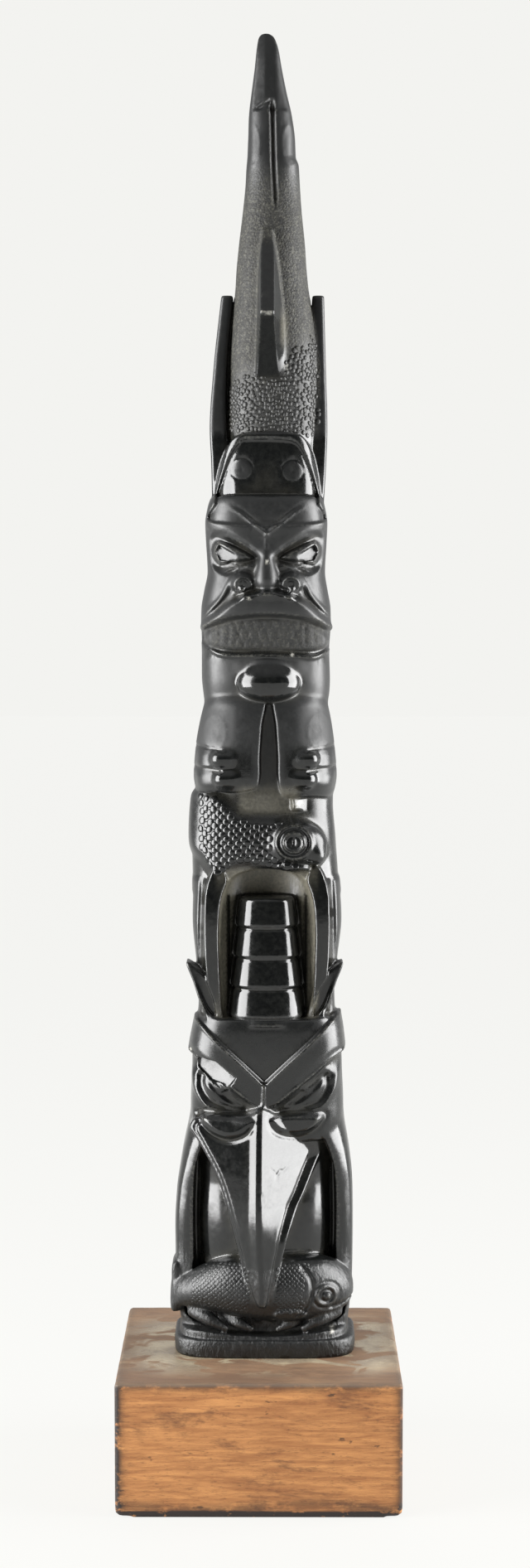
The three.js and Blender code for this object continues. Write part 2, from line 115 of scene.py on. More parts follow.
# ---------------- lines and outlines on the front
def curved(points, closed=False, steps=6):
    """A smooth line through a few x, z points."""
    p = np.array(points, float)
    if closed:
        before, after = np.roll(p, 1, 0), np.roll(p, -2, 0)
        start, end = p, np.roll(p, -1, 0)
    else:
        start, end = p[:-1], p[1:]
        before = np.vstack([2 * p[0] - p[1], p[:-2]])
        after = np.vstack([p[2:], 2 * p[-1] - p[-2]])
    line = []
    for a, b, c, d in zip(before, start, end, after):
        for t in np.arange(steps) / steps:
            line.append(
                0.5 * (2 * b + (c - a) * t + (2 * a - 5 * b + 4 * c - d) * t**2
                       + (3 * b - a - 3 * c + d) * t**3)
            )
    if not closed:
        line.append(p[-1])
    return np.array(line)


def flip(points, side, middle=0.0):
    """Points drawn for the right, put on the left (-1) or the right (1) of a middle line."""
    return [(side * x + middle, z) for x, z in points]


def shift(points, dx, dz=0.0):
    """The same points, moved to the right and up."""
    return [(x + dx, z + dz) for x, z in points]


def ring(x, z, across, up=None, count=20, start=0.0, end=FULL_TURN):
    """Points round a circle, or round an oval where up is given."""
    up = across if up is None else up
    return [(x + across * math.cos(a), z + up * math.sin(a)) for a in np.linspace(start, end, count)]


def along(line, x, z):
    """Distance from each place to a line, and how far along the line that is, from 0 to 1."""
    best = np.full(np.broadcast(x, z).shape, 1e9, np.float32)
    where = np.zeros_like(best)
    lengths = np.hypot(*np.diff(line, axis=0).T)
    total, run = max(lengths.sum(), 1e-6), 0.0
    for (ax, az), (bx, bz), length in zip(line[:-1], line[1:], lengths):
        dx, dz = bx - ax, bz - az
        t = np.clip(((x - ax) * dx + (z - az) * dz) / max(length * length, 1e-9), 0, 1)
        d = np.hypot(x - ax - t * dx, z - az - t * dz)
        nearer = d < best
        best = np.where(nearer, d, best)
        where = np.where(nearer, (run + t * length) / total, where)
        run += length
    return best, where


def inside(line, x, z):
    """Signed distance to a closed outline, negative inside."""
    loop = np.vstack([line, line[:1]])
    d, _ = along(loop, x, z)
    odd = np.zeros(d.shape, bool)
    for (ax, az), (bx, bz) in zip(loop[:-1], loop[1:]):
        if az == bz:
            continue
        crosses = ((az > z) != (bz > z)) & (x < (bx - ax) * (z - az) / (bz - az) + ax)
        odd ^= crosses
    return np.where(odd, -d, d)


# ---------------- solid forms
class Form:
    """A distance function and the corners of the space that it needs."""

    def __init__(self, distance, low, high):
        self.distance, self.low, self.high = distance, low, high


def egg(centre, radii, turn=0.0, lean=0.0):
    """An ellipsoid, turned about y (anticlockwise as seen from the front) and leaned about z."""
    cx, cy, cz = centre
    rx, ry, rz = radii
    ct, st = math.cos(turn), math.sin(turn)
    cl, sl = math.cos(lean), math.sin(lean)

    def distance(x, y, z):
        u, v, w = x - cx, y - cy, z - cz
        u, v = u * cl + v * sl, v * cl - u * sl
        u, w = u * ct + w * st, w * ct - u * st
        reach = np.sqrt((u / rx) ** 2 + (v / ry) ** 2 + (w / rz) ** 2) + 1e-6
        steep = np.sqrt((u / rx**2) ** 2 + (v / ry**2) ** 2 + (w / rz**2) ** 2) + 1e-6
        return reach * (reach - 1) / steep

    r = max(radii) + 2
    return Form(distance, (cx - r, cy - r, cz - r), (cx + r, cy + r, cz + r))


def limb(points):
    """A round bar through [x, y, z, radius] points."""
    rows = curved(points, steps=6) if len(points) > 2 else np.array(points, float)

    def distance(x, y, z):
        best = 1e9
        for a, b in zip(rows[:-1], rows[1:]):
            d = b[:3] - a[:3]
            t = np.clip(
                ((x - a[0]) * d[0] + (y - a[1]) * d[1] + (z - a[2]) * d[2]) / max(d @ d, 1e-9), 0, 1
            )
            gap = np.sqrt(
                (x - a[0] - t * d[0]) ** 2 + (y - a[1] - t * d[1]) ** 2 + (z - a[2] - t * d[2]) ** 2
            )
            best = np.minimum(best, gap - (a[3] + t * (b[3] - a[3])))
        return best

    r = rows[:, 3].max() + 2
    return Form(distance, rows[:, :3].min(0) - r, rows[:, :3].max(0) + r)


def length_of_body(rows, back_corner=6.0, end_round=1.2):
    """A half-round body: rows of height, half width, front, back, sideways shift and squareness."""
    rows = np.array(rows, float)
    z0, z1 = rows[0, 0], rows[-1, 0]

    def distance(x, y, z):
        w, f, b, c, n = (
            between(z.ravel(), rows[:, 0], rows[:, i]).astype(np.float32)[None, None, :]
            for i in range(1, 6)
        )
        mid = np.minimum(b - 2, 3)
        front = y < mid
        u = np.abs(x - c) / w
        v = np.where(front, (mid - y) / (f + mid), (y - mid) / (b - mid))
        square = np.where(front, n, back_corner)
        size = (u**square + v**square) ** (1 / square)
        reach = np.sqrt((x - c) ** 2 + (y - mid) ** 2)
        around = reach * (1 - 1 / np.maximum(size, 0.02))
        return smooth_max(around, np.maximum(z0 - z, z - z1), end_round)

    wide = (rows[:, 1] + np.abs(rows[:, 4])).max() + 3
    low = (-wide, -rows[:, 2].max() - 3, z0 - 2)
    high = (wide, rows[:, 3].max() + 3, z1 + 2)
    return Form(distance, low, high)


def within(form, line, soft):
    """The part of a form that lies inside a closed outline."""

    def distance(x, y, z):
        return smooth_max(form.distance(x, y, z), masked(line, x, z), soft)

    return Form(distance, form.low, form.high)


def slab_in_front(line, front, back, nearest=None, soft=0.8):
    """A form with a closed outline, which ends at y = back.

    Its face lies at y = front, which is a number or a function of x and z.
    """
    line = np.asarray(line, float)
    if callable(front):
        face, nearest = front, FAR_FRONT if nearest is None else nearest
    else:
        face, nearest = (lambda x, z: front), front

    def distance(x, y, z):
        ahead = face(x, z) - y
        return smooth_max(smooth_max(masked(line, x, z), ahead, soft), y - back, soft)

    (x0, z0), (x1, z1) = line.min(0) - 2, line.max(0) + 2
    return Form(distance, (x0, nearest - 2, z0), (x1, back + 2, z1))


# ---------------- the block of stone
class Stone:
    """Distances to the carving's surface on a grid, negative in the stone."""

    def __init__(self, low, high, grain):
        self.grain = grain
        self.axes = [np.arange(a, b + grain, grain, dtype=np.float32) for a, b in zip(low, high)]
        self.field = np.full([len(a) for a in self.axes], OUTSIDE, np.float32)

    def window(self, low, high):
        """The part of the block between two corners, and its x, y and z."""
        cuts = []
        for axis, a, b in zip(self.axes, low, high):
            first, last = np.searchsorted(axis, [a, b])
            cuts.append(slice(max(first - 1, 0), min(last + 1, len(axis))))
        x, y, z = (axis[cut] for axis, cut in zip(self.axes, cuts))
        return tuple(cuts), x[:, None, None], y[None, :, None], z[None, None, :]

    def add(self, form, blend=1.0):
        cut, x, y, z = self.window(form.low, form.high)
        self.field[cut] = smooth_min(self.field[cut], form.distance(x, y, z), blend)

    def cut(self, form, blend=0.8):
        cut, x, y, z = self.window(form.low, form.high)
        self.field[cut] = smooth_max(self.field[cut], -form.distance(x, y, z), blend)

    def over(self, line, margin, change, back=6.0):
        """Moves the front surface out by change(x, z) near a line; the effect fades at y = back."""
        (x0, z0), (x1, z1) = line.min(0) - margin, line.max(0) + margin
        cut, x, y, z = self.window((x0, FAR_FRONT, z0), (x1, back, z1))
        if 0 in (x.size, y.size, z.size):
            return
        amount = change(x[:, 0, :], z[0])[:, None, :]
        self.field[cut] -= amount * ramp(y - back + 3, 6)

    def swell(self, points, height, edge=1.6, smooth=True, back=6.0, lean=0.0, tip=0.0):
        """Raises the surface inside an outline, or sinks it where height is negative.

        lean makes it stand higher towards the right, and tip higher towards the top, by that much a mm.
        """
        line = curved(points, closed=True) if smooth else np.array(points, float)
        cx, cz = (line.min(0) + line.max(0)) / 2

        def change(x, z):
            return (height + lean * (x - cx) + tip * (z - cz)) * ramp(inside(line, x, z), edge)

        self.over(line, edge, change, back)

    def groove(self, points, width, depth, taper=0.15, smooth=True, back=6.0):
        """Cuts a line, or raises a cord where depth is negative; taper thins its two ends."""
        line = curved(points) if smooth else np.array(points, float)

        def change(x, z):
            d, t = along(line, x, z)
            ends = np.clip(np.minimum(t, 1 - t) / max(taper, 1e-6), 0, 1) ** 0.7
            profile = np.clip(1 - (d / (width / 2)) ** 2, 0, 1) ** 1.5
            return -depth * profile * ends

        self.over(line, width, change, back)


def plane_off(stone, line, face, back=-5.0):
    """Takes off, inside an outline, all the stone that stands in front of y = face(x, z)."""
    line = np.array(line, float)

    def distance(x, y, z):
        ahead = (y - face(x, z)) * 0.8
        return smooth_max(smooth_max(masked(line, x, z), ahead, 0.3), y - back, 0.3)

    (x0, z0), (x1, z1) = line.min(0) - 2, line.max(0) + 2
    stone.cut(Form(distance, (x0, FAR_FRONT, z0), (x1, back + 2, z1)), 0.4)


# ---------------- the foot
def carve_foot(stone):
    """Two low steps under everything."""
    step = FOOT_Z + 4.8
    lower = [
        (FOOT_Z - 1, 24.5, 13.2, 12, 0, 4.4), (FOOT_Z + 2.4, 24.9, 13.4, 12, 0, 4.4),
        (step, 24.6, 13.2, 12, 0, 4.4),
    ]
    upper = [(FOOT_Z + 2, 23.2, 12.4, 11.6, -0.4, 4.2), (step + 2.2, 22.8, 12.2, 11.6, -0.4, 4.2)]
    stone.add(length_of_body(lower, end_round=0.9), 0.1)
    stone.add(length_of_body(upper, end_round=0.9), 0.2)


def carve_claws(stone):
    """The bird's toes on the foot, which grip the fish from below."""
    stone.add(length_of_body([(42, 20, 8.4, 11, 0, 2.6), (52, 19.4, 8.4, 11, 0, 2.6)]), 1.0)
    for side in SIDES:
        for x, reach, z, fall, thick in (
            (19.4, 8.6, 47.6, 3.8, 1.8), (10.4, 6.6, 46.0, 2.4, 1.6), (2.0, 1.6, 46.6, -1.0, 1.3),
        ):
            toe = limb([
                (side * x, -7.6, z, thick), (side * (x - reach * 0.5), -10.2, z - fall * 0.4, thick),
                (side * (x - reach), -10.9, z - fall, thick * 0.55),
            ])
            stone.add(toe, 1.2)


# ---------------- the raven
WING_EDGE = 19.4


def carve_raven_body(stone):
    """Folded wings round the sides, and the breast between them."""
    wings = [
        (40, 22.6, 6.4, 11.2, 0, 5), (50, 23.8, 6.6, 11.4, -0.2, 6), (57, 24.3, 6.8, 11.6, -0.2, 6),
        (70, 24.5, 6.8, 11.8, -0.2, 6), (80, 24.2, 7.2, 11.8, 0, 5), (88, 23.4, 8.6, 11.8, 0.3, 4),
        (98, 21.6, 10.6, 11.8, 0.5, 3), (104, 20.2, 9.6, 11.6, 0.6, 2.6), (110, 18.6, 8, 11.2, 0.6, 2.6),
    ]
    stone.add(length_of_body(wings), 0.8)
    w = WING_EDGE
    half = [(w, 44), (w, 62), (w, 80), (w - 1.2, 90), (w - 6, 99)]
    opening = curved(flip(half, -1) + [(0, 101)] + half[::-1], closed=True)
    stone.cut(slab_in_front(opening, -40, -0.5, soft=1.2), 0.6)
    breast = [
        (40, 18.2, 6.6, 11, 0, 2.2), (56, 18.5, 8.0, 11, 0, 2.3), (66, 18.7, 9.9, 11, 0, 2.5),
        (71, 18.8, 10.2, 11, 0, 2.5), (77, 18.7, 9.8, 11, 0, 2.5), (83, 18.6, 8.9, 11, 0.1, 2.5),
        (88, 18.8, 9.1, 11, 0.1, 2.5), (93, 19.0, 9.6, 11, 0.2, 2.5),
        (102, 19.2, 10.8, 11, 0.4, 2.5),
    ]
    stone.add(length_of_body(breast), 0.8)
    for side in SIDES:
        # the feathers' edges, as long cuts round the wing's side
        for z0, z1, y0, y1 in ((56, 88, -3.2, -1.2), (52, 84, 1.6, 3.2), (50, 80, 5.6, 6.8)):
            cut = [
                (side * 24.9, y0, z0, 0.55), (side * 25.0, (y0 + y1) / 2, (z0 + z1) / 2, 0.75),
                (side * 23.9, y1, z1, 0.5),
            ]
            stone.cut(limb(cut), 0.5)


def carve_raven_head(stone):
    """The head, its slanting brows, and the eyes sunk below them."""
    head = [
        (95, 20.6, 10, 11.8, 0.6, 3.1), (99, 21.0, 11.4, 11.8, 0.6, 3.1), (104, 21.0, 12.6, 11.8, 0.6, 3.1),
        (113, 20.6, 13.2, 11.8, 0.6, 3.7), (119, 20.4, 13.4, 11.8, 0.6, 3.7),
        (125, 19.6, 13.2, 11.8, 0.8, 3.7), (129.2, 18.8, 12.6, 11.6, 0.9, 3.7),
    ]
    stone.add(length_of_body(head, end_round=1.0), 0.8)
    for side in SIDES:
        drift = 0.2 if side > 0 else -0.45

        def turn(points, side=side, drift=drift):
            return flip(points, side, drift)

        # the brow: a slanting band with a cord along its top edge and a bevel along its lower one
        band = [
            (-0.4, 104.4), (-0.4, 111.4), (5.4, 116.8), (12.0, 122.8), (18.0, 128.4), (22, 131.6),
            (26, 131.6), (26, 121.6), (21.6, 119.6), (17.4, 117.6), (10.6, 112.0), (3.6, 106.6),
        ]
        stone.swell(turn(band), 1.2, edge=1.0, smooth=False)
        temple = [(9, 112), (18, 119.6), (20.5, 119), (19, 114.6), (13, 110.6)]
        stone.swell(turn(temple), -0.7, edge=3.0, back=-2)
        cord = [(0.2, 111.4), (5.6, 116.8), (12.2, 122.8), (18.6, 128.8)]
        stone.groove(turn(cord), 1.4, -0.5, taper=0.02)
        edge_cord = [(1.4, 104.8), (8.6, 110.6), (15.4, 116.2), (18.6, 118.4), (21.8, 120.2)]
        stone.groove(turn(edge_cord), 1.3, -0.5, taper=0.03, back=0)
        socket = [
            (3.4, 103.8), (9.6, 109.6), (14.6, 113.6), (17.0, 113.6), (17.2, 110.4), (15.4, 107),
            (12.4, 104.6), (7, 103.4),
        ]
        stone.swell(turn(socket), -1.7, edge=2.6, back=-2.5)
        bevel = [(9.6, 110.0), (12.6, 113.4), (16.4, 116.2), (17.4, 114.4), (14.6, 111.2), (11.4, 108.8)]
        stone.swell(turn(bevel), 0.5, edge=1.2, back=-2, lean=-0.08 * side, smooth=False)
        eye = [
            (5.8, 104.8), (9.6, 106.8), (13.2, 110.0), (15.8, 112.6), (15.8, 109.6), (13.6, 106.4),
            (9.6, 105),
        ]
        stone.swell(turn(eye), 1.0, edge=2.4, back=-2.5)
        lid = [(17.0, 114.6), (13.0, 111.0), (9.0, 107.6), (4.8, 104.2)]
        stone.groove(turn(lid), 1.2, -0.35, taper=0.1, back=-2)
        under = [(19.4, 115.0), (19.2, 111.0), (17.4, 107.2), (14.8, 104.8), (9.1, 104.2), (4.8, 103.6)]
        stone.groove(turn(under), 1.6, -0.35, taper=0.1, back=0)
    facet = [(-17.8, 118.4), (-13.2, 117.6), (-7.6, 113.4), (-9.4, 111.0), (-14.4, 112.0), (-18.0, 115.2)]
    plane_off(stone, facet, lambda x, z: -11.9 - 0.7 * (x + 10) + 0.04 * (z - 115))
    stone.groove([(-0.3, 111.6), (-0.5, 105)], 1.3, -0.5, taper=0.05)


def beak_face(x, z):
    """How far forward the beak's two flanks stand."""
    ridge = -between(z, [48, 53, 60, 72, 86, 100, 112], [18.6, 19.8, 20.9, 21.5, 20.2, 17.4, 14.4])
    line = between(z, [48, 53, 76, 104], [-0.4, -0.5, -1.4, -1.2])
    right = x - line - 0.35
    left = line - x - 0.35
    slope_right = between(z, [48, 62, 68, 73, 79, 100, 112], [0.9, 0.52, 0.52, 0.64, 0.86, 0.88, 0.7])
    strip = 1.7  # a narrow bevel along the left of the ridge
    slope_left = between(z, [48, 60, 90, 112], [0.75, 0.5, 0.34, 0.3])
    near = np.clip(left - 0.6, 0, strip)
    left_face = near * 0.78 + np.clip(left, 0, 0.6) * 0.15 + np.maximum(left - 0.6 - strip, 0) * slope_left
    flank = np.where(x > line, np.maximum(right, 0) * slope_right, np.maximum(left_face, 0))
    return ridge + flank


def carve_beak(stone):
    """The beak over its lower jaw, with a crescent on each side of its root."""
    jaw = [
        (-20.4, 99.4), (-17.9, 95.2), (-13.4, 87.4), (-10.6, 79.6), (-8.0, 70), (-5.8, 61), (-3.9, 54.4),
        (-1.6, 51.6), (0.8, 51.8), (3.0, 58.2), (5.8, 68.6), (8.6, 77), (10.7, 81.2), (14.3, 89.2),
        (17.5, 95.3), (19.0, 99.0), (14.6, 102.9), (5.4, 103.6), (1.6, 104.9), (-0.4, 106.0), (-2.4, 104.9),
        (-6.6, 103.6), (-16.2, 102.9),
    ]

    def jaw_face(x, z):
        band = between(z, [52, 58.6, 69, 77.6, 89.6, 95.6, 104], [0.4, 1.5, 3.4, 5.8, 11.2, 14.4, 16.4])
        return beak_face(np.minimum(x, band), z) + 1.2 + 0.25 * np.maximum(x - band, 0)

    stone.add(slab_in_front(curved(jaw, True, 3), jaw_face, 1, soft=0.9), 0.5)
    upper = [
        (-18.4, 99.4), (-16.6, 95.6), (-12.1, 87.6), (-9.3, 79.6), (-6.9, 70), (-4.7, 61), (-3.0, 54.4),
        (-1.4, 52.2), (0.4, 52.4), (1.5, 58.6), (3.4, 69), (5.8, 77.6), (7.8, 81.8), (11.2, 89.6),
        (14.4, 95.6), (16.4, 99.4), (13.4, 102.6), (5.0, 103.1), (1.2, 104.3), (-0.4, 105.2), (-2.0, 104.3),
        (-6.0, 103.1), (-14.8, 102.6),
    ]
    stone.add(slab_in_front(curved(upper, True, 3), beak_face, 1, soft=0.7), 0.25)
    for side in SIDES:
        cx = 0.0 if side > 0 else -1.6
        crescent = [
            (1.6, 102.4), (8, 103.0), (15.0, 102.6), (14.6, 100.2), (11.4, 97.9), (7.2, 97.3), (3.2, 99.2),
        ]
        moat = [(1.0, 103.0), (8, 104.0), (16.6, 103.4), (15.4, 99.4), (11.6, 96.6), (7.2, 96.0), (2.4, 98.4)]
        stone.swell(flip(moat, side, cx), -0.9, edge=1.4)
        stone.swell(flip(crescent, side, cx), 2.3, edge=3.0, lean=0.08 if side > 0 else 0)


def chip_beak(stone):
    """Small old knocks on the beak's right flank, beside its ridge."""
    for points, width, depth in (
        ([(1.4, 89.6), (2.4, 88.4), (3.4, 87.2), (4.0, 88.4), (4.8, 88.0), (6.6, 89.4)], 0.7, 0.2),
        ([(-0.9, 84), (-0.5, 81.6), (-0.9, 79.4)], 0.6, 0.14),
        ([(3.0, 87.4), (3.4, 85.8)], 0.6, 0.18), ([(-3.6, 61.6), (-2.4, 60.2), (-2.8, 58.4)], 0.8, 0.3),
    ):
        stone.groove(points, width, depth, taper=0.2, smooth=False, back=-8)


def carve_ears(stone):
    """The raven's ears, which stand up beside the niche."""
    outline = [
        (11.4, 127), (15, 128), (17.6, 133), (19.4, 138.4), (21.3, 143.6), (18.4, 142.2), (14.6, 138.4),
        (12.4, 133),
    ]
    hollow = [(13.2, 129.4), (15.4, 131), (17.6, 136), (19.4, 141.4), (16.4, 139.2), (14.2, 135)]

    def front(x, z):
        return -9.5 + (z - 128) * 0.12

    for side in SIDES:
        stone.add(slab_in_front(curved(flip(outline, side), True), front, 0, soft=0.7), 0.7)
        stone.cut(slab_in_front(curved(flip(hollow, side), True), FAR_FRONT, -8.0, soft=0.5), 0.5)


# ---------------- the ringed hat in its niche
HAT = dict(foot=129.0, top=161.6, rings=4, low_radius=10.2, high_radius=7.7, middle=(0.6, -4.4))


def carve_niche(stone):
    """The block round the niche, grooved down both sides."""
    walls = [
        (124, 19.2, 8, 11.6, 0.5, 3.0), (135, 18.6, 8.4, 11.5, 0.5, 3.0), (144, 19.4, 9, 11.5, 0.5, 3.0),
        (155, 20.4, 9.8, 11.4, 0.6, 3.0), (166, 19.9, 10, 11.4, 0.4, 3.0),
    ]
    stone.add(length_of_body(walls), 0.8)
    for side in SIDES:
        wall_line = flip([(17.2, 128), (18.0, 148), (17.4, 168)], side, 0.6)
        stone.groove(wall_line, 1.6, 1.0, taper=0.1, back=0)


def cut_niche(stone):
    """The arched hollow behind the hat."""
    outline = [
        (-10.6, 127), (-12.2, 134), (-12.7, 146), (-12.5, 155), (-11.2, 162), (-8, 167.5), (0.6, 169.4),
        (9.2, 167.5), (12.6, 162), (13.8, 155), (13.9, 146), (13.4, 134), (11.8, 127),
    ]
    arch = curved(outline, closed=True)

    def hollow(x, y, z):
        edge = masked(arch, x, z)
        floor = HAT["foot"] - z
        bowl = (np.sqrt(((x - 0.6) / 14.2) ** 2 + ((y + 13.5) / 12.6) ** 2) - 1) * 12.6
        return smooth_max(smooth_max(edge, floor, 0.6), bowl, 1.6)

    stone.cut(Form(hollow, (-18, -40, 124), (18, 6, 172)), 0.9)


def carve_hat(stone):
    """A tapering hat of equal rings, each with a bevel at its top."""
    cx, cy = HAT["middle"]
    pitch = (HAT["top"] - HAT["foot"]) / HAT["rings"]

    def distance(x, y, z):
        reach = (np.abs(x - cx) ** 2.3 + np.abs((y - cy) / 0.92) ** 2.3) ** (1 / 2.3)
        up = (z - HAT["foot"]) / pitch
        t = up - np.floor(up)
        slope = (HAT["high_radius"] - HAT["low_radius"]) / (HAT["rings"] * pitch)
        radius = HAT["low_radius"] + slope * (z - HAT["foot"])
        bevel = 0.55 * np.clip((t - 0.86) / 0.14, 0, 1) ** 1.5 + 0.5 * np.clip((0.06 - t) / 0.06, 0, 1)
        side = reach - radius + bevel + 0.35 * (t - 0.5)
        top = z - HAT["top"] + 0.5 * np.clip(1 - (HAT["high_radius"] - reach) / 2.0, 0, 1) ** 2
        return smooth_max(side, np.maximum(top, HAT["foot"] - 2 - z), 0.3)

    stone.add(Form(distance, (cx - 13, cy - 13, HAT["foot"] - 2), (cx + 13, cy + 13, HAT["top"] + 2)), 0.3)


# ---------------- the scaled sea creature
CREATURE_SKIN = [
    (-21, 189), (-15.1, 189.4), (-11.2, 188), (-7.6, 184.6), (-2, 182.7), (5.4, 182.8), (8.6, 182.2),
    (12, 179.6), (14.4, 177), (15.9, 173.8), (14.2, 170.6), (11, 169.6), (4, 169.4), (-1, 170), (-5, 170.8),
    (-9.6, 169.4), (-12.4, 166), (-14.6, 168.4), (-17, 172), (-21, 176),
]
CREATURE_EYE = (7.8, 177.0)


def carve_creature(stone):
    """The creature that bites the niche's arch: its scaled brow, ringed eye and mouth."""
    core = [
        (162, 20.1, 8.8, 11.4, 0.5, 2.5), (168, 19.9, 9.8, 11.4, 0.1, 2.5), (176, 19.6, 10, 11.3, -0.2, 2.5),
        (184, 18.9, 9.4, 11.2, -0.2, 2.5), (190, 18.5, 9, 11.2, 0.1, 2.5),
    ]
    stone.add(length_of_body(core), 1.2)
    stone.swell(CREATURE_SKIN, 1.9, edge=3.4)
    stone.add(egg((8.6, -9.4, 176), (8.2, 5.4, 6.4), -0.08), 2.4)
    stone.swell(
        [(7.4, 185.4), (11.6, 185.0), (11.8, 188.8), (7.2, 189.2)], 1.0, edge=0.7, smooth=False, lean=-0.75,
    )
    x, z = CREATURE_EYE
    for radius, width, height in ((4.7, 1.5, 0.7), (2.7, 1.2, 0.9)):
        stone.groove(ring(x, z, radius, radius * 0.94, 22), width, -height, taper=0)
    stone.groove([(x, z), (x + 0.2, z)], 3.0, 0.9, taper=0)
    stone.add(egg((13.8, -11.2, 173.8), (2.6, 3.2, 3.0), 0.4), 1.2)
    mouth = [(2.0, 170.2), (5.2, 171.6), (8.6, 171.2), (11.8, 170.8), (14.8, 168.6)]
    stone.groove(mouth, 1.5, 0.8, taper=0.1)
    stone.groove([(3.4, 168.4), (8.0, 169.6), (11.8, 168.9), (14.8, 166.4)], 2.0, -0.6, taper=0.2)


def carve_legs(stone):
    """Two bars that frame the niche from the ears to the arch."""
    outline = [
        (12.0, 127), (12.4, 133), (12.9, 143), (13.1, 153), (12.4, 161), (10.8, 167), (13.8, 170),
        (16.4, 164), (16.9, 155), (16.6, 144), (15.6, 134), (14.8, 127),
    ]

    def front(x, z):
        return -11.4 + 0.004 * (z - 150) ** 2

    for side in SIDES:
        line = flip(curved(outline, closed=True), side, 0.6)
        stone.add(slab_in_front(line, front, -4, nearest=-11.2, soft=0.6), 0.6)


# ---------------- the bear
FACE_X = 0.6


def carve_bear_arms(stone):
    """The bear's body, and the arms raised in front of it with the fingers under the chin."""
    body = [(186, 17, 8.6, 11.2, 0.2, 2.5), (200, 17, 9.4, 11, 0.3, 2.5), (216, 16, 9.8, 10.8, 0.3, 2.5)]
    stone.add(length_of_body(body), 1.0)
    arms = [
        (188, 17.9, 10.8, 10.8, 0.1, 2.9), (190.4, 19.0, 13.0, 11, 0.1, 2.9), (194, 19.5, 14.2, 11, 0.1, 2.9),
        (202, 18.9, 14.0, 11, 0.1, 2.9), (208, 18.0, 13.7, 11, 0.2, 2.9), (213, 16.9, 12.8, 11, 0.3, 2.9),
        (216.5, 16, 10.6, 11, 0.4, 2.9),
    ]
    arm_form = length_of_body(arms)
    for side in SIDES:
        edge = 1.6 if side < 0 else 3.8
        low = 190.2 if side < 0 else 188.6
        points = [
            (edge - 1.4, 216), (edge - 0.8, 208), (edge - 0.3, 200), (edge - 0.2, 194),
            (edge + 0.9, low + 1.0), (8, low - 0.2), (14, low), (22, low - 0.6), (24, 200), (22, 212),
            (15.4, 216.4), (9, 217),
        ]
        line = curved(flip(points, side), closed=True)
        stone.add(within(arm_form, line, 0.9), 0.7)
        # the shoulder's ovoid, as a faint ring round a pit
        cx, cz = (-13.4, 206.2) if side < 0 else (14.6, 206.6)
        stone.groove(ring(cx, cz, 3.0, 4.6), 0.9, -0.1, taper=0)
        stone.groove([(cx, cz + 1.0), (cx + 0.1, cz - 1.0)], 1.4, 0.2, taper=0.3)
        # fingers curled in under the chin, parted by shallow cuts that run round the side
        for tip, z in ((10.6, 198.8), (9.8, 193.4)):
            finger = [
                (tip - 2, z + 1.8), (tip + 4, z + 2), (24, z + 1.4), (24, z - 2), (tip + 3, z - 2.2),
                (tip - 1.6, z - 1.2),
            ]
            stone.swell(flip(finger, side), 0.6, edge=2.2, back=-4)
            stone.add(egg((side * (tip + 0.9), -12.6, z + 0.4), (2.9, 2.4, 2.3)), 1.5)
        for z in (202.0, 196.4):
            gap = [(11.0, z - 0.8), (14.4, z), (18, z + 0.2), (24, z)]
            stone.groove(flip(gap, side), 1.0, 0.45, taper=0.06)


def face(points):
    """Points measured from the middle of the bear's face."""
    return shift(points, FACE_X)


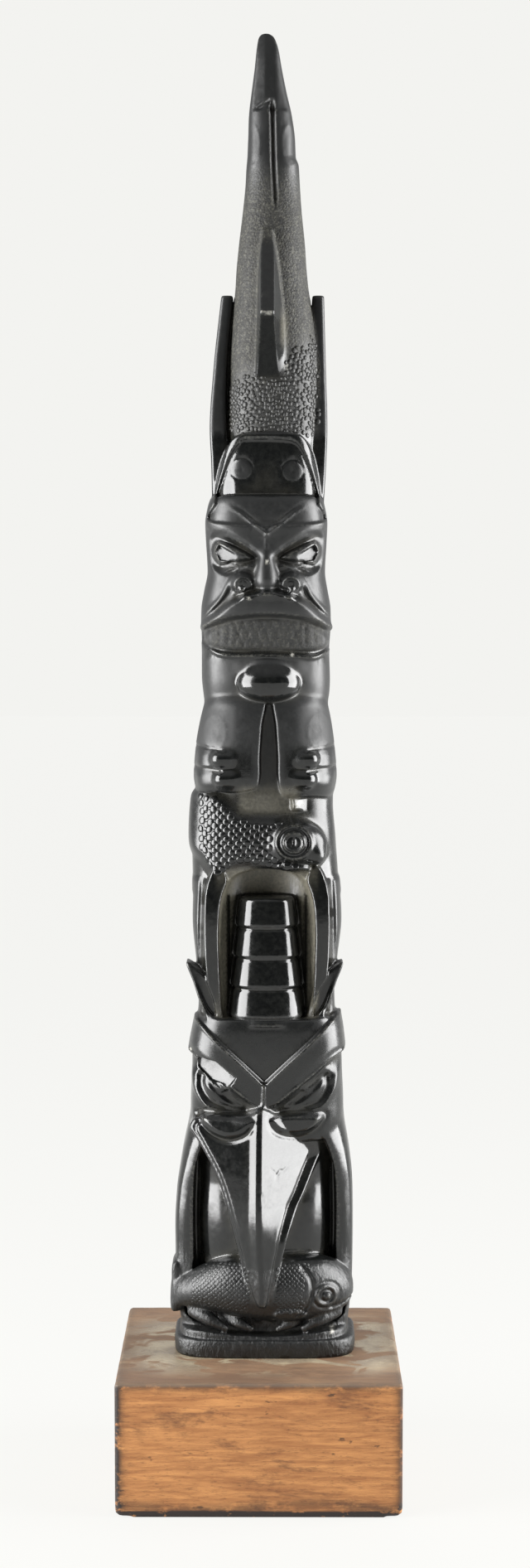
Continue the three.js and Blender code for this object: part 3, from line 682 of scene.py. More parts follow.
def carve_bear_head(stone):
    """The head, with brows, eyes and nose in low relief and a wide mouth full of teeth."""
    head = [
        (212.8, 16.4, 9, 10.8, 0.4, 2.4), (216, 17.1, 10.4, 10.8, 0.4, 2.8),
        (220.5, 17.4, 11.8, 10.8, 0.3, 3.0), (227, 17.3, 12.6, 10.8, 0.2, 3.3),
        (234, 17.6, 13.4, 10.8, 0.3, 3.3), (239, 17.5, 13.6, 10.8, 0.3, 3.3),
        (244, 16.7, 13.2, 10.8, 0.3, 3.3), (249, 15.9, 12.4, 10.8, 0.4, 3.3),
        (257, 16.3, 12.6, 10.6, 0.4, 3.3), (262, 16.5, 12.9, 10.6, 0.4, 3.3),
        (266.5, 15.8, 12.6, 10.6, 0.4, 3.3), (269.6, 14.8, 11.4, 10.6, 0.5, 3.3),
    ]
    stone.add(length_of_body(head, end_round=1.4), 0.7)
    right_brow = [(2.4, 253.8), (4.6, 256.0), (10.4, 259.6), (14.4, 260.9), (20, 261.2), (20, 276)]
    brow = [(0, 252.4)] + right_brow + flip(right_brow, -1)[::-1]
    stone.swell(face(brow), 0.7, edge=1.2, smooth=False, back=-3)
    stone.groove(face([(-0.1, 259.4), (-0.1, 254.6)]), 1.0, -0.4, taper=0.1)
    half = [(2.0, 260.4), (4.4, 262.2), (7.2, 264.5), (10.4, 266.2)]
    frown = face(flip(half, -1)[::-1] + [(0, 258.9)] + half)
    stone.groove(frown, 1.2, -0.5, taper=0.3, smooth=False)
    stone.groove(shift(frown, 0, 1.2), 1.1, 0.22, taper=0.3, smooth=False)
    for side in SIDES:

        def turn(points, side=side):
            return flip(points, side, FACE_X)

        def ball_face(x, z, slope=0.66 if side < 0 else 0.8):
            return -12.2 + slope * (np.abs(x - FACE_X) - 7.6) + 0.11 * (z - 253.6) ** 2

        brow_line = [(1.8, 253.0), (4.8, 255.4), (10.6, 259.0), (14.6, 260.4), (17, 260.8)]
        stone.groove(turn(brow_line), 1.3, -0.35, taper=0.05, back=-2)
        socket = [
            (2.2, 252.8), (7.6, 257.0), (13.0, 259.0), (15.2, 257.4), (15.4, 253.6), (13.4, 249.8),
            (9.6, 248.6), (5, 250.6),
        ]
        stone.swell(turn(socket), -1.6, edge=2.2, back=-3)
        # two lids meet in the inner corner, and the ball lies between them
        lids = [(3.4, 252.6), (8.0, 255.2), (12.6, 257.0), (14.2, 254.6), (12.6, 251.2), (8.0, 251.2)]
        stone.swell(turn(lids), 1.6, edge=1.4, back=-3)
        ball = [(7.6, 253.0), (12.9, 256.2), (13.6, 254.2), (12.6, 252.0), (9.0, 251.6)]
        plane_off(stone, turn(ball), ball_face)
        for line, width, depth, taper in (
            ([(2.6, 252.5), (7.6, 255.3), (13.0, 257.6)], 1.1, 0.75, 0.1),
            ([(2.8, 252.2), (7.8, 251.6), (12.8, 250.4)], 1.1, 0.7, 0.1),
            ([(2.4, 253.4), (7.2, 256.6), (12.4, 258.8)], 1.2, -0.7, 0.15),
            ([(3.2, 251.0), (7.4, 250.2), (12.0, 249.0)], 1.3, -0.8, 0.15),
        ):
            stone.groove(turn(line), width, depth, taper, back=-3)
        # the fold from the inner eye round the nose to the corner of the mouth
        fold = [(3.0, 250.4), (6.8, 249.6), (9.8, 246.4), (12.4, 241.8), (17.6, 236.6)]
        stone.groove(turn(fold), 1.6, -0.55, taper=0.1, back=-1)
        stone.groove(turn([(8.6, 246.0), (10.8, 242.0), (14.6, 238.0)]), 1.6, 0.5, taper=0.2, back=-1)
        # the nostril's wing, curled round a pit
        stone.add(egg((FACE_X + side * 6.3, -12.0, 246.0), (3.4, 3.2, 2.9)), 1.2)
        stone.groove(turn(ring(6.4, 245.4, 2.2, 2.0, 14, -1.2, 3.8)), 1.0, -0.45, taper=0.1)
        stone.groove(turn([(6.4, 244.8), (6.8, 245.1)]), 1.7, 0.8, taper=0)
        stone.add(egg((FACE_X + side * 6.6, -14.6, 244.3), (0.9, 0.9, 0.8)), 0.3)
    bridge = [
        (FACE_X - 0.2, -10.6, 257, 1.7), (FACE_X - 0.2, -12.4, 252, 1.9), (FACE_X - 0.1, -13.0, 247, 3.2),
    ]
    stone.add(limb(bridge), 1.4)
    upper_lip = [
        (-17.4, 234.2), (-13, 238), (-8.4, 241.4), (-4, 243.2), (0, 243.8), (4, 243.4), (8.6, 241.6),
        (13, 238.2), (17.6, 234), (13, 235.6), (8, 236.8), (0, 237.4), (-8, 236.8), (-13, 235.8),
    ]
    stone.swell(face(upper_lip), 2.1, edge=2.2, back=2, tip=0.1)
    mouth = [
        (-17.2, 233.4), (-13, 235.2), (-8, 236.4), (0, 237), (8, 236.4), (13, 235), (17.2, 232.6),
        (17.4, 229.6), (13.6, 226.9), (8, 227.0), (0, 227.4), (-8, 227.2), (-13.4, 227.6), (-17, 230),
    ]
    stone.swell(face(mouth), -0.9, edge=1.2)
    teeth = [
        (-15.8, 232.6), (-8, 235.8), (0, 236.4), (8, 235.8), (16.2, 231.8), (15.4, 229), (8, 228.3),
        (0, 228.7), (-8, 228.5), (-15, 229.6),
    ]
    stone.swell(face(teeth), 1.1, edge=1.6)
    # teeth, crossed by slanting cuts
    for x in np.arange(-7.5, 7.6, 2.5):
        for lean in (-1.5, 1.5):
            stone.groove(face([(x - lean, 228.8), (x + lean, 236)]), 0.8, 0.22, taper=0.05, smooth=False)
    for side in SIDES:
        for x in (10.4, 12.8):
            gap = [(x, 229.2), (x - 0.3, 232), (x - 0.2, 235)]
            stone.groove(flip(gap, side, FACE_X), 0.7, 0.3, taper=0.1)
    # the lower lip, and the chin below it
    lip = [(-16.6, 229.6), (-13, 227.4), (-8, 226.8), (0, 226.8), (8, 226.6), (13, 226.4), (16.8, 228.6)]
    stone.groove(face(lip), 1.7, -0.9, taper=0.1)
    stone.add(egg((1.0, -9.2, 219.6), (8.9, 7.2, 5.9)), 0.6)
    under_lip = [
        (FACE_X - 5.2, -8.6, 224.0, 3.4), (FACE_X + 0.4, -9.8, 223.4, 4.2), (FACE_X + 6.2, -8.6, 224.0, 3.4),
    ]
    stone.add(limb(under_lip), 2.2)


# ---------------- the crest on the bear's brow
CREST_EDGE = [
    (-14.4, 268), (-13.6, 272), (-12.2, 277), (-10.2, 281.8), (-8.2, 284.4), (-5.4, 285.6), (0.6, 285.9),
    (7.2, 285.8), (10.2, 284.6), (12.8, 280.6), (14.6, 275), (16, 268),
]
CREST_DISCS = ((-6.1, 276.1), (7.4, 275.6))


def carve_crest(stone):
    """A smooth apron on the brow, rimmed, with two engraved discs."""
    apron = [
        (266, 14.6, 9.6, 10.4, 0.8, 3.4), (271, 14.4, 9.6, 10.4, 0.8, 3.4), (280, 13.2, 9.6, 10.2, 0.8, 3.4),
        (287, 12.6, 9.2, 10.2, 0.8, 3.4),
    ]
    form = length_of_body(apron)
    line = curved(CREST_EDGE + [(17, 262), (-15.4, 262)], closed=True)
    stone.add(within(form, line, 0.6), 0.4)
    inner = [
        (-13.0, 267), (-12.5, 270), (-9.9, 277.6), (-8.6, 280.4), (-6.7, 282.8), (-5.0, 283.8),
        (6.0, 283.6), (9.3, 281.8), (11.6, 277.1), (13.7, 270.6), (14.2, 267),
    ]
    stone.swell(inner + [(14.4, 262), (-13.2, 262)], -0.9, edge=0.8)
    stone.groove(inner, 0.9, 0.3, taper=0.05, back=0)
    corner = [(-11.9, 269.4), (-8.4, 269.4), (-8.6, 273.4), (-10.4, 273.6), (-11.4, 271.6)]
    plane_off(stone, corner, lambda x, z: -7.5 - 0.62 * (x + 8.6))
    for x, z in CREST_DISCS:
        stone.groove(ring(x, z, 2.9, count=22), 0.7, 0.2, taper=0)
        for a in (0.6, 1.1, 1.6, 2.1):
            dx, dz = 2.3 * math.cos(a), 2.3 * math.sin(a)
            stone.groove([(x - dx, z - dz), (x + dx, z + dz)], 0.4, 0.07)


# ---------------- the whale
WHALE = [
    (264, 12.4, 5.5, 10, 1.8, 2.3), (291, 12.3, 8.4, 9.8, 2.3, 2.3), (304, 12.1, 8.4, 9.7, 2.5, 2.2),
    (314, 11.2, 7.8, 9.6, 2.3, 2.2), (325, 9.8, 6.8, 9.4, 1.9, 2.2), (330, 9.4, 6.2, 9.3, 1.8, 2.2),
    (336, 8.9, 5.6, 9.2, 1.9, 2.2), (346, 7.8, 4.4, 9.1, 2.0, 2.2), (352, 7.3, 3.8, 9, 2.1, 2.3),
    (357.2, 7.0, 3.3, 8.9, 2.1, 2.3), (359.4, 6.5, 3.0, 8.8, 1.8, 2.4), (364, 6.3, 2.4, 8.6, 1.8, 2.3),
    (370, 5.8, 1.6, 8.4, 1.5, 2.2), (377, 4.6, 0.6, 8.1, 1.1, 2.1), (383, 3.6, -0.4, 7.7, 0.9, 2.0),
    (388, 2.9, -1.4, 7.2, 0.7, 2.0), (391, 2.1, -2.2, 6.4, 0.4, 2.0), (392.2, 1.3, -2.8, 5.6, 0.2, 2.0),
]


def carve_whale(stone):
    """The diving whale's body, and its snout with a slit and two faint ovals."""
    stone.add(length_of_body(WHALE, back_corner=4.5, end_round=1.2), 0.5)
    # the snout's tip is planed to a flat front between two bevels
    tip = [(-3.2, 371.5), (-1.8, 392), (3.6, 392), (7.2, 371.5)]

    def snout(x, z):
        middle = -between(z, [368, 376, 384, 390, 394], [1.6, 0.2, -1.0, -2.6, -4.4])
        return middle + 0.45 * np.maximum(np.abs(x - 1.6) - 1.6, 0)

    plane_off(stone, tip, snout, back=6)
    # a slit up the front of the snout
    stone.groove([(1.9, 374.6), (2.1, 368), (2.3, 358), (2.7, 350), (3.0, 344.8)], 1.5, 1.1, taper=0.1)
    stone.groove([(-2.4, 372.0), (1.3, 374.6)], 0.8, -0.35, taper=0.1)
    stone.groove([(-2.2, 371.4), (1.5, 373.9)], 0.7, 0.3, taper=0.1)
    for side in SIDES:
        cx = 1.6 + side * 5.4
        stone.groove(ring(cx, 362, 2.5, 5.6, 18), 1.0, -0.12, taper=0, back=3)
        pit = [(cx + 0.4 * side, 365.4), (cx + 0.5 * side, 362), (cx + 0.4 * side, 358.8)]
        stone.groove(pit, 1.4, 0.18, taper=0.4, back=3)


def carve_dorsal_fin(stone):
    """The back fin: a blade that stands out from the body and hangs down to its tip."""
    tip_z, top_z, low_z = 316.0, 339.6, 300.4
    middle = 0.7

    def distance(x, y, z):
        lead = by_height(z, [tip_z, 328, 336, top_z, 342], [21.0, 13.6, 8.4, 6.0, 4.4])
        trail = by_height(z, [low_z, 306, 311, tip_z], [8.6, 12.0, 16.6, 21.0])
        tip = -np.where(z > tip_z, lead, trail)
        foot = -by_height(z, [low_z, 325, 341], [8.0, 6.4, 4.2])
        t = np.clip((y - tip) / np.maximum(foot - tip, 0.5), 0, 1)
        edge = by_height(z, [low_z, 312, tip_z, 330, top_z], [3.0, 2.1, 1.9, 1.9, 1.3])
        root_left = by_height(z, [low_z, 312, 328, top_z], [3.2, 2.9, 2.5, 1.6])
        root_right = by_height(z, [low_z, 312, 328, top_z], [5.6, 4.9, 3.4, 1.8])
        left = -(x - middle) - (edge + (root_left - edge) * t**1.3)
        right = (x - middle) - (edge + (root_right - edge) * t**1.3)
        sides = np.maximum(left, right) * 0.93
        ahead = (tip - y) * np.where(z > tip_z, 0.86, 0.8)
        ends = np.maximum(low_z - z, z - top_z)
        return smooth_max(smooth_max(sides, ahead, 0.5), ends, 0.6)

    stone.add(Form(distance, (-7, -24, low_z - 2), (9, 4, top_z + 2)), 0.5)


def carve_side_fins(stone):
    """Two flat fins that stand beside the whale, joined to it by a thin web."""
    heights = [267.5, 278, 287, 303, 322.8]
    thick = [5.0, 5.0, 4.6, 3.6, 3.2]
    front = [2.6, 3.4, 3.2, 2.0, -0.4]
    for side in SIDES:
        outer = [14.2, 14.4, 14.8, 13.8, 11.7] if side < 0 else [15.9, 16.5, 16.8, 16.4, 15.9]

        def distance(x, y, z, side=side, outer=outer):
            out = by_height(z, heights, outer)
            across = side * x
            sides = np.maximum(across - out, out - by_height(z, heights, thick) - across)
            ahead = -by_height(z, heights, front) - y
            ends = np.maximum(heights[0] - z, z - heights[-1])
            return smooth_max(smooth_max(smooth_max(sides, ahead, 1.2), y - 8.8, 1.5), ends, 0.5)

        web = flip([(7, 266), (7, 321), (10.6, 321.6), (13.4, 300), (14, 266)], side)
        stone.add(slab_in_front(web, 2.6, 8), 0.4)
        low, high = sorted((side * 6, side * 20))
        stone.add(Form(distance, (low, -8, heights[0] - 2), (high, 12, heights[-1] + 2)), 0.3)


# ---------------- the salmon
def carve_salmon(stone):
    """The fish held across the foot, with its head to the right."""
    rows = np.array([
        (-25.6, 51.6, 3.6, 3.0), (-22, 52.8, 4.4, 4.4), (-16, 54.6, 6.2, 5.8), (-9, 55.4, 8.0, 6.6),
        (0, 55.2, 8.7, 7.0), (8, 55.0, 9.0, 7.0), (14, 55.0, 8.6, 6.8), (19, 54.6, 7.2, 6.2),
        (22.6, 54.0, 5.0, 4.8), (24.3, 53.6, 3.2, 3.4),
    ])

    def distance(x, y, z):
        flat = x.ravel()
        middle, high, deep = (between(flat, rows[:, 0], rows[:, i])[:, None, None] for i in (1, 2, 3))
        bend = -10.6 + 0.0115 * x * x
        u, v = (z - middle) / high, (y - bend) / deep
        size = np.sqrt(u * u + v * v) + 1e-6
        around = np.sqrt((z - middle) ** 2 + (y - bend) ** 2) * (1 - 1 / np.maximum(size, 0.02))
        ends = np.maximum(rows[0, 0] - x, x - rows[-1, 0])
        return smooth_max(around, ends, 2.5)

    stone.add(Form(distance, (-27, -22, 43), (26.4, 3, 67)), 0.5)
    tail = [(-25.7, 47), (-25.6, 54), (-25.4, 59.6), (-23.8, 60.4), (-22.6, 57), (-21.4, 52), (-22.6, 47.4)]
    stone.add(slab_in_front(curved(tail, True), -5.5, 4, soft=1.4), 1.0)
    x, z = 16.8, 53.6
    for radius, width, depth in ((3.7, 1.0, 0.5), (2.6, 1.2, -0.5), (1.6, 0.8, 0.35)):
        stone.groove(ring(x, z, radius), width, depth, taper=0)
    stone.add(egg((x, -13.6, z), (1.2, 1.2, 1.2)), 0.3)
    stone.groove([(9.6, 62), (12.4, 58.6), (12.8, 54.6), (11.4, 50.4), (8.6, 47.6)], 1.3, 0.7, taper=0.1)
    stone.groove([(24, 51.6), (20.4, 50.2), (17.4, 49.6)], 1.0, 0.8, taper=0.1)
    fin = [(2.4, 49.0), (5, 50.2), (9, 50), (11.4, 48.4), (8, 46.8), (4, 46.8)]
    stone.swell(fin, 0.7, edge=1.0)


# ---------------- the whole carving
def carve_pole():
    """The whole carving, from the foot up."""
    low = POLE_BOX[0] / MM - Vector((POLE_X + 1.5, 1.5, 1.5))
    high = POLE_BOX[1] / MM - Vector((POLE_X - 1.5, -1.5, -1.5))
    stone = Stone(low, high, GRAIN)
    for carve in (
        carve_foot, carve_raven_body, carve_raven_head, carve_beak, chip_beak, carve_salmon, carve_claws,
        carve_niche, carve_creature, cut_niche, carve_legs, carve_hat, carve_ears, carve_bear_arms,
        carve_bear_head, carve_whale, carve_crest, carve_dorsal_fin, carve_side_fins,
    ):
        carve(stone)
    return stone


# ---------------- from distances to a skin
def skin_of(stone):
    """The surface as points and four-sided faces: one point in each cell that the surface crosses."""
    f, grain = stone.field, stone.grain
    corners = [
        f[i : f.shape[0] - 1 + i, j : f.shape[1] - 1 + j, k : f.shape[2] - 1 + k]
        for i in (0, 1) for j in (0, 1) for k in (0, 1)
    ]
    count = sum((c < 0).astype(np.int8) for c in corners)
    cells = np.argwhere((count > 0) & (count < 8))
    values = np.stack([c[tuple(cells.T)] for c in corners], 1)
    places = np.array([(i, j, k) for i in (0, 1) for j in (0, 1) for k in (0, 1)], float)
    total, hits = np.zeros((len(cells), 3)), np.zeros(len(cells))
    for a in range(8):
        for b in range(a + 1, 8):
            if np.abs(places[a] - places[b]).sum() != 1:
                continue
            va, vb = values[:, a], values[:, b]
            crossed = (va < 0) != (vb < 0)
            t = np.where(crossed, va / np.where(crossed, va - vb, 1), 0)[:, None]
            total += np.where(crossed[:, None], places[a] + t * (places[b] - places[a]), 0)
            hits += crossed
    origin = np.array([axis[0] for axis in stone.axes])
    points = (cells + total / hits[:, None]) * grain + origin
    number = np.full(count.shape, -1, np.int32)
    number[tuple(cells.T)] = np.arange(len(cells))
    faces = []
    solid = f < 0
    for axis in range(3):
        a, b = (axis + 1) % 3, (axis + 2) % 3
        first, second = [slice(None)] * 3, [slice(None)] * 3
        first[axis], second[axis] = slice(0, -1), slice(1, None)
        for side in (a, b):
            first[side] = second[side] = slice(1, -1)
        here, there = solid[tuple(first)], solid[tuple(second)]
        for outward in (True, False):
            edges = np.argwhere((here & ~there) if outward else (~here & there))
            edges[:, a] += 1
            edges[:, b] += 1
            around = []
            for da, db in ((0, 0), (-1, 0), (-1, -1), (0, -1)):
                cell = edges.copy()
                cell[:, a] += da
                cell[:, b] += db
                around.append(number[tuple(cell.T)])
            faces.append(np.stack(around if outward else around[::-1], 1))
    return points, np.vstack(faces)


def sample(stone, field, points):
    """Values of a grid at free points."""
    origin = np.array([axis[0] for axis in stone.axes])
    p = (points - origin) / stone.grain
    i = np.clip(np.floor(p).astype(int), 0, np.array(field.shape) - 2)
    t = p - i
    result = 0
    for a in (0, 1):
        for b in (0, 1):
            for c in (0, 1):
                weight = (
                    (t[:, 0] if a else 1 - t[:, 0])
                    * (t[:, 1] if b else 1 - t[:, 1])
                    * (t[:, 2] if c else 1 - t[:, 2])
                )
                result = result + weight * field[i[:, 0] + a, i[:, 1] + b, i[:, 2] + c]
    return result


def slopes(stone, points):
    """The direction out of the stone at free points."""
    h = stone.grain
    ahead = [
        sample(stone, stone.field, points + np.eye(3)[axis] * h)
        - sample(stone, stone.field, points - np.eye(3)[axis] * h)
        for axis in range(3)
    ]
    return np.stack(ahead, 1) / (2 * h)


def plain_mesh(name, points, faces):
    """A mesh from arrays of points and four-sided faces."""
    mesh = bpy.data.meshes.new(name)
    mesh.vertices.add(len(points))
    mesh.vertices.foreach_set("co", np.asarray(points, np.float32).ravel())
    mesh.loops.add(faces.size)
    mesh.loops.foreach_set("vertex_index", faces.ravel().astype(np.int32))
    mesh.polygons.add(len(faces))
    mesh.polygons.foreach_set("loop_start", np.arange(0, faces.size, faces.shape[1], dtype=np.int32))
    mesh.update(calc_edges=True)
    mesh.validate()
    return mesh


def blurred(field, reach):
    """The grid averaged over a block of cells, reach cells to each side."""
    result = field
    for axis in range(3):
        before = np.repeat(np.take(result, [0], axis), reach + 1, axis)
        after = np.repeat(np.take(result, [-1], axis), reach, axis)
        padded = np.concatenate([before, result, after], axis)
        total = np.cumsum(padded, axis=axis, dtype=np.float64)
        size = result.shape[axis]
        high = np.take(total, range(2 * reach + 1, 2 * reach + 1 + size), axis)
        low = np.take(total, range(0, size), axis)
        result = ((high - low) / (2 * reach + 1)).astype(np.float32)
    return result


def put_values(mesh, name, values):
    """Keeps one number for each point, for the materials to read."""
    mesh.attributes.new(name, "FLOAT", "POINT").data.foreach_set("value", np.asarray(values, np.float32))


def points_of(mesh):
    """The mesh's points as rows of x, y and z."""
    points = np.empty(len(mesh.vertices) * 3, np.float32)
    mesh.vertices.foreach_get("co", points)
    return points.reshape(-1, 3)


def near(value, middle, reach, edge):
    """1 within reach of the middle and 0 beyond it, smooth across the edge."""
    return ramp(np.abs(value - middle) - reach, edge)


def above(value, limit, edge):
    """1 above a limit and 0 below it, smooth across the edge."""
    return ramp(limit - value, edge)


def below(value, limit, edge):
    """1 below a limit and 0 above it, smooth across the edge."""
    return ramp(value - limit, edge)


def spot(x, z, middle_x, middle_z, reach, edge):
    """1 inside a circle and 0 outside it, smooth across the edge."""
    return ramp(np.hypot(x - middle_x, z - middle_z) - reach, edge)


def strongest(*parts):
    """The largest of several amounts at each point."""
    result = parts[0]
    for part in parts[1:]:
        result = np.maximum(result, part)
    return result


def bear_teeth(x, z):
    return near(z, 232.2, 3.8, 1) * near(x, FACE_X, 15, 1)


def back_fin(x, y, z):
    """Where the whale's back fin stands, wider towards its foot."""
    half = 4.4 + 0.06 * np.clip(316 - z, 0, 16)
    return near(x, 0.9, half, 1.6) * below(y, -8.4, 1.6) * below(z, 340, 2)


def mark_dust_and_painted_light(mesh, x, y, z):
    """Olive dusty patches in the niche round the hat, on the arch above it, and beside the back fin; those in
    the niche are also painted light on its walls, and the one beside the fin is a painted highlight.
    """
    # the niche's walls: dusty stone, and painted light where they look lit
    niche = near(z, 149, 21, 4) * near(x, 0.6, 13.6, 2) * above(y, -9.5, 3) * below(y, 3, 3)
    hat = spot(x, y, *HAT["middle"], 11, 1) * below(z, HAT["top"] + 0.4, 0.6)
    arch = near(z, 188, 3.5, 3) * near(x, 1, 8, 3) * below(y, -4, 3)
    # a painted highlight on the back fin's right side, laid on in the dusty olive colour
    flank = near(x, 5.2, 0.9, 1.2) * near(z, 313, 4, 5) * below(y, -6, 2)
    put_values(mesh, "dust_and_painted_light", np.clip(niche * (1 - hat) + 0.4 * arch + 0.35 * flank, 0, 1))


def mark_skins(mesh, x, y, z):
    """The whale's matt skin, and where the pebbles and scales are to grow."""
    heights, half, _, _, middle, _ = np.array(WHALE).T
    body = near(x, between(z, heights, middle), between(z, heights, half) + 0.2, 0.5)
    whale = above(z, 285.6, 1.2) * below(z, 352, 14) * body * (1 - back_fin(x, y, z))
    strewn = whale * below(z, 305 + 0.5 * (x - 2), 8) * (x < 14) * (x > -9.6)
    matt = whale * below(y, 5, 2) * (1 - 0.7 * strewn) + 0.5 * bear_teeth(x, z)
    put_values(mesh, "skin", np.clip(matt, 0, 1))
    put_values(mesh, "pebbles", strewn)
    brow = inside(curved(CREATURE_SKIN, closed=True), x, z) < -0.9
    brow &= np.hypot(x - CREATURE_EYE[0], z - CREATURE_EYE[1]) > 5.8
    brow &= (x > -18) & (x < 12.4) & (y < -4)
    put_values(mesh, "creature_scales", brow)
    fish = (x > -20) & (x < 10.2 + 0.04 * (z - 55) ** 2) & (z > 49.4) & (np.abs(z - 54.8) < 7.6)
    under_beak = np.abs(x + 0.5) <= 3.6
    put_values(mesh, "fish_scales", fish & (y < -6.4) & ~under_beak)


def mark_polish(mesh, x, y, z):
    """Where the polish is dulled to satin, from 0 on the glossy forms to 1.7 on the bear's shoulders."""
    side = np.abs(x - FACE_X)
    chin = ramp(np.hypot((x - 1) / 1.9, z - 219.6) - 5.0, 0.8)
    shine = strongest(
        chin,
        0.3 * near(z, 253.8, 4.8, 1.2) * near(side, 9.4, 5.6, 1),  # eyes
        0.6 * spot(side, z, 6.4, 245.0, 2.2, 1),  # nostrils
        0.7 * near(z, 242.6, 1.6, 1) * below(side, 9, 2),  # upper lip
        0.6 * near(z, 227.2, 1.4, 1),  # lower lip
    )
    satin = strongest(above(z, 201, 7), 0.7 * above(z, 187, 2) * above(side, 14, 2)) * (1 - shine)
    satin = strongest(
        satin,
        near(x, 1.1, 4.4, 1.6) * near(z, 202, 14.5, 3) * (1 - chin),  # between the bear's arms
        above(z, 286, 1) * below(y, -4, 3),  # whale
        0.4 * near(z, 180, 11, 3),  # creature
        0.6 * near(z, 147, 20, 3) * above(side, 17.4, 1),  # beside the niche
        0.55 * above(z, 116, 3) * below(z, 130, 1),  # raven's brows
        0.5 * near(z, 109, 8, 2) * above(side, 3, 1) * (1 - 0.8 * below(x, -9, 1)),  # raven's eyes
        0.85 * below(z, 62, 3),  # salmon
        0.12 * below(z, 118, 4),  # raven
    )
    fin_front = near(x, 0.8, 1.5, 0.4) * below(y, -8, 1) * above(z, 316, 1) * below(z, 338, 2)
    # the back fin loses satin, its underside most, so its colour is a little darker there as painted shade
    # under the fin
    fin = back_fin(x, y, z) * above(z, 299.6, 1) * (0.3 + 0.5 * below(z, 315.6, 0.8))
    crest = near(z, 277, 8.4, 0.8)
    satin = satin * (1 - 0.95 * fin_front) * (1 - fin) * (1 - 0.85 * crest)
    discs = sum(spot(x, z, *disc, 2.7, 0.4) for disc in CREST_DISCS)
    shoulders = near(z, 208, 5, 3) * above(side, 9, 3)
    satin = satin + 0.5 * discs + bear_teeth(x, z) + 0.7 * shoulders
    put_values(mesh, "satin", np.clip(satin, 0, 1.7))
    under_fin = near(x, 1.1, 3.4, 1.2) * below(y, -8, 1) * above(z, 300, 1) * below(z, 315.4, 0.6)
    put_values(mesh, "shaded", under_fin)


# small knocks: x, z and how far each one reaches
KNOCKS = (
    (0.3, 316.4, 0.3), (-0.5, 320.6, 0.25), (1.5, 316.0, 0.3), (-0.6, 316.2, 0.25), (0.9, 315.4, 0.2),
    (4.0, 344.7, 0.6), (2.0, 347.2, 0.4), (-1.0, 344.2, 0.3), (-3.5, 40.2, 0.25), (9.4, 38.4, 0.35),
    (18.4, 42.6, 0.5), (2.6, 46.2, 0.5), (9.4, 187.0, 0.8), (5.7, 303.0, 0.5), (17.9, 300, 0.3),
    (-20.1, 119.8, 0.3), (7.3, 227.0, 0.4), (-4.2, 241.9, 0.4), (0.7, 251.4, 0.5),
)


def mark_carving(mesh, stone):
    """Keeps on the mesh all that the stone's look depends on."""
    points = points_of(mesh) / MM - np.array([POLE_X, 0, 0])
    clipped = np.clip(stone.field, -4, 4)
    deep = sample(stone, blurred(clipped, round(3.0 / stone.grain)), points)
    fine = sample(stone, blurred(clipped, max(1, round(0.9 / stone.grain))), points)
    put_values(mesh, "recess", np.clip(-deep / 1.2, 0, 1))
    # how convex the surface is, which the stone's recipe paints lighter: rubbed stone and partly a painted
    # highlight
    put_values(mesh, "edge", np.clip(fine / 0.35, 0, 1))
    x, y, z = points.T
    mark_dust_and_painted_light(mesh, x, y, z)
    mark_skins(mesh, x, y, z)
    mark_polish(mesh, x, y, z)
    knocks = sum(spot(x, z, *knock, 0.4) for knock in KNOCKS) * below(y, -2, 2)
    put_values(mesh, "chip", np.clip(knocks, 0, 1))
    rough_cut = below(z, 49, 3) + 0.5 * below(z, 62, 2) + 0.6 * above(y, 7.5, 2)
    put_values(mesh, "hewn", np.clip(rough_cut, 0, 1))


def glossy_forms(points):
    """The hat, the beak, the chin, the legs and the fingers, whose polish shows every facet."""
    x, y, z = points.T
    hat = (np.hypot(x - HAT["middle"][0], y - HAT["middle"][1]) < 11.4) & (np.abs(z - 146) < 17) & (y < -5)
    beak = (np.abs(x) < 13) & (y < -13) & (np.abs(z - 82) < 27)
    chin = (np.abs(x - 1) < 11) & (y < -11) & (np.abs(z - 221) < 7)
    legs = (np.abs(np.abs(x - 0.6) - 14.2) < 3.4) & (np.abs(z - 149) < 20) & (y < -5)
    fingers = (np.abs(x) > 5) & (np.abs(z - 196) < 6) & (y < -7)
    return hat | beak | chin | legs | fingers


def placed(name, data):
    """A new object in the scene."""
    made = bpy.data.objects.new(name, data)
    bpy.context.scene.collection.objects.link(made)
    return made


def thin_out(piece, spared, triangles):
    """Takes triangles away from a dense skin, mostly away from the spared points."""
    if triangles <= SKIN_TRIANGLES:
        return
    free = piece.vertex_groups.new(name="free")
    free.add(np.flatnonzero(~spared).tolist(), 1.0, "REPLACE")
    thin = piece.modifiers.new("thin", "DECIMATE")
    thin.ratio = SKIN_TRIANGLES / triangles
    thin.vertex_group = free.name
    thin.vertex_group_factor = 8
    graph = bpy.context.evaluated_depsgraph_get()
    lean = bpy.data.meshes.new_from_object(piece.evaluated_get(graph))
    piece.modifiers.clear()
    piece.vertex_groups.clear()
    piece.data = lean


def settle(mesh, stone):
    """Moves the thinned skin back onto the surface, and shades it square to the surface."""
    points = points_of(mesh).astype(float)
    local = points / MM - np.array([POLE_X, 0, 0])
    g = slopes(stone, local)
    length = np.maximum(np.linalg.norm(g, axis=1, keepdims=True), 1e-6)
    off = np.clip(sample(stone, stone.field, local) / length[:, 0], -0.15, 0.15)
    moved = points - off[:, None] * g / length * MM
    moved[:, 2] = np.maximum(moved[:, 2], FOOT_Z * MM)
    mesh.vertices.foreach_set("co", moved.astype(np.float32).ravel())
    bottom = points[:, 2] < (FOOT_Z + 0.05) * MM
    g[bottom] = (0, 0, -1)
    length[bottom] = 1
    mesh.normals_split_custom_set_from_vertices((g / length).tolist())


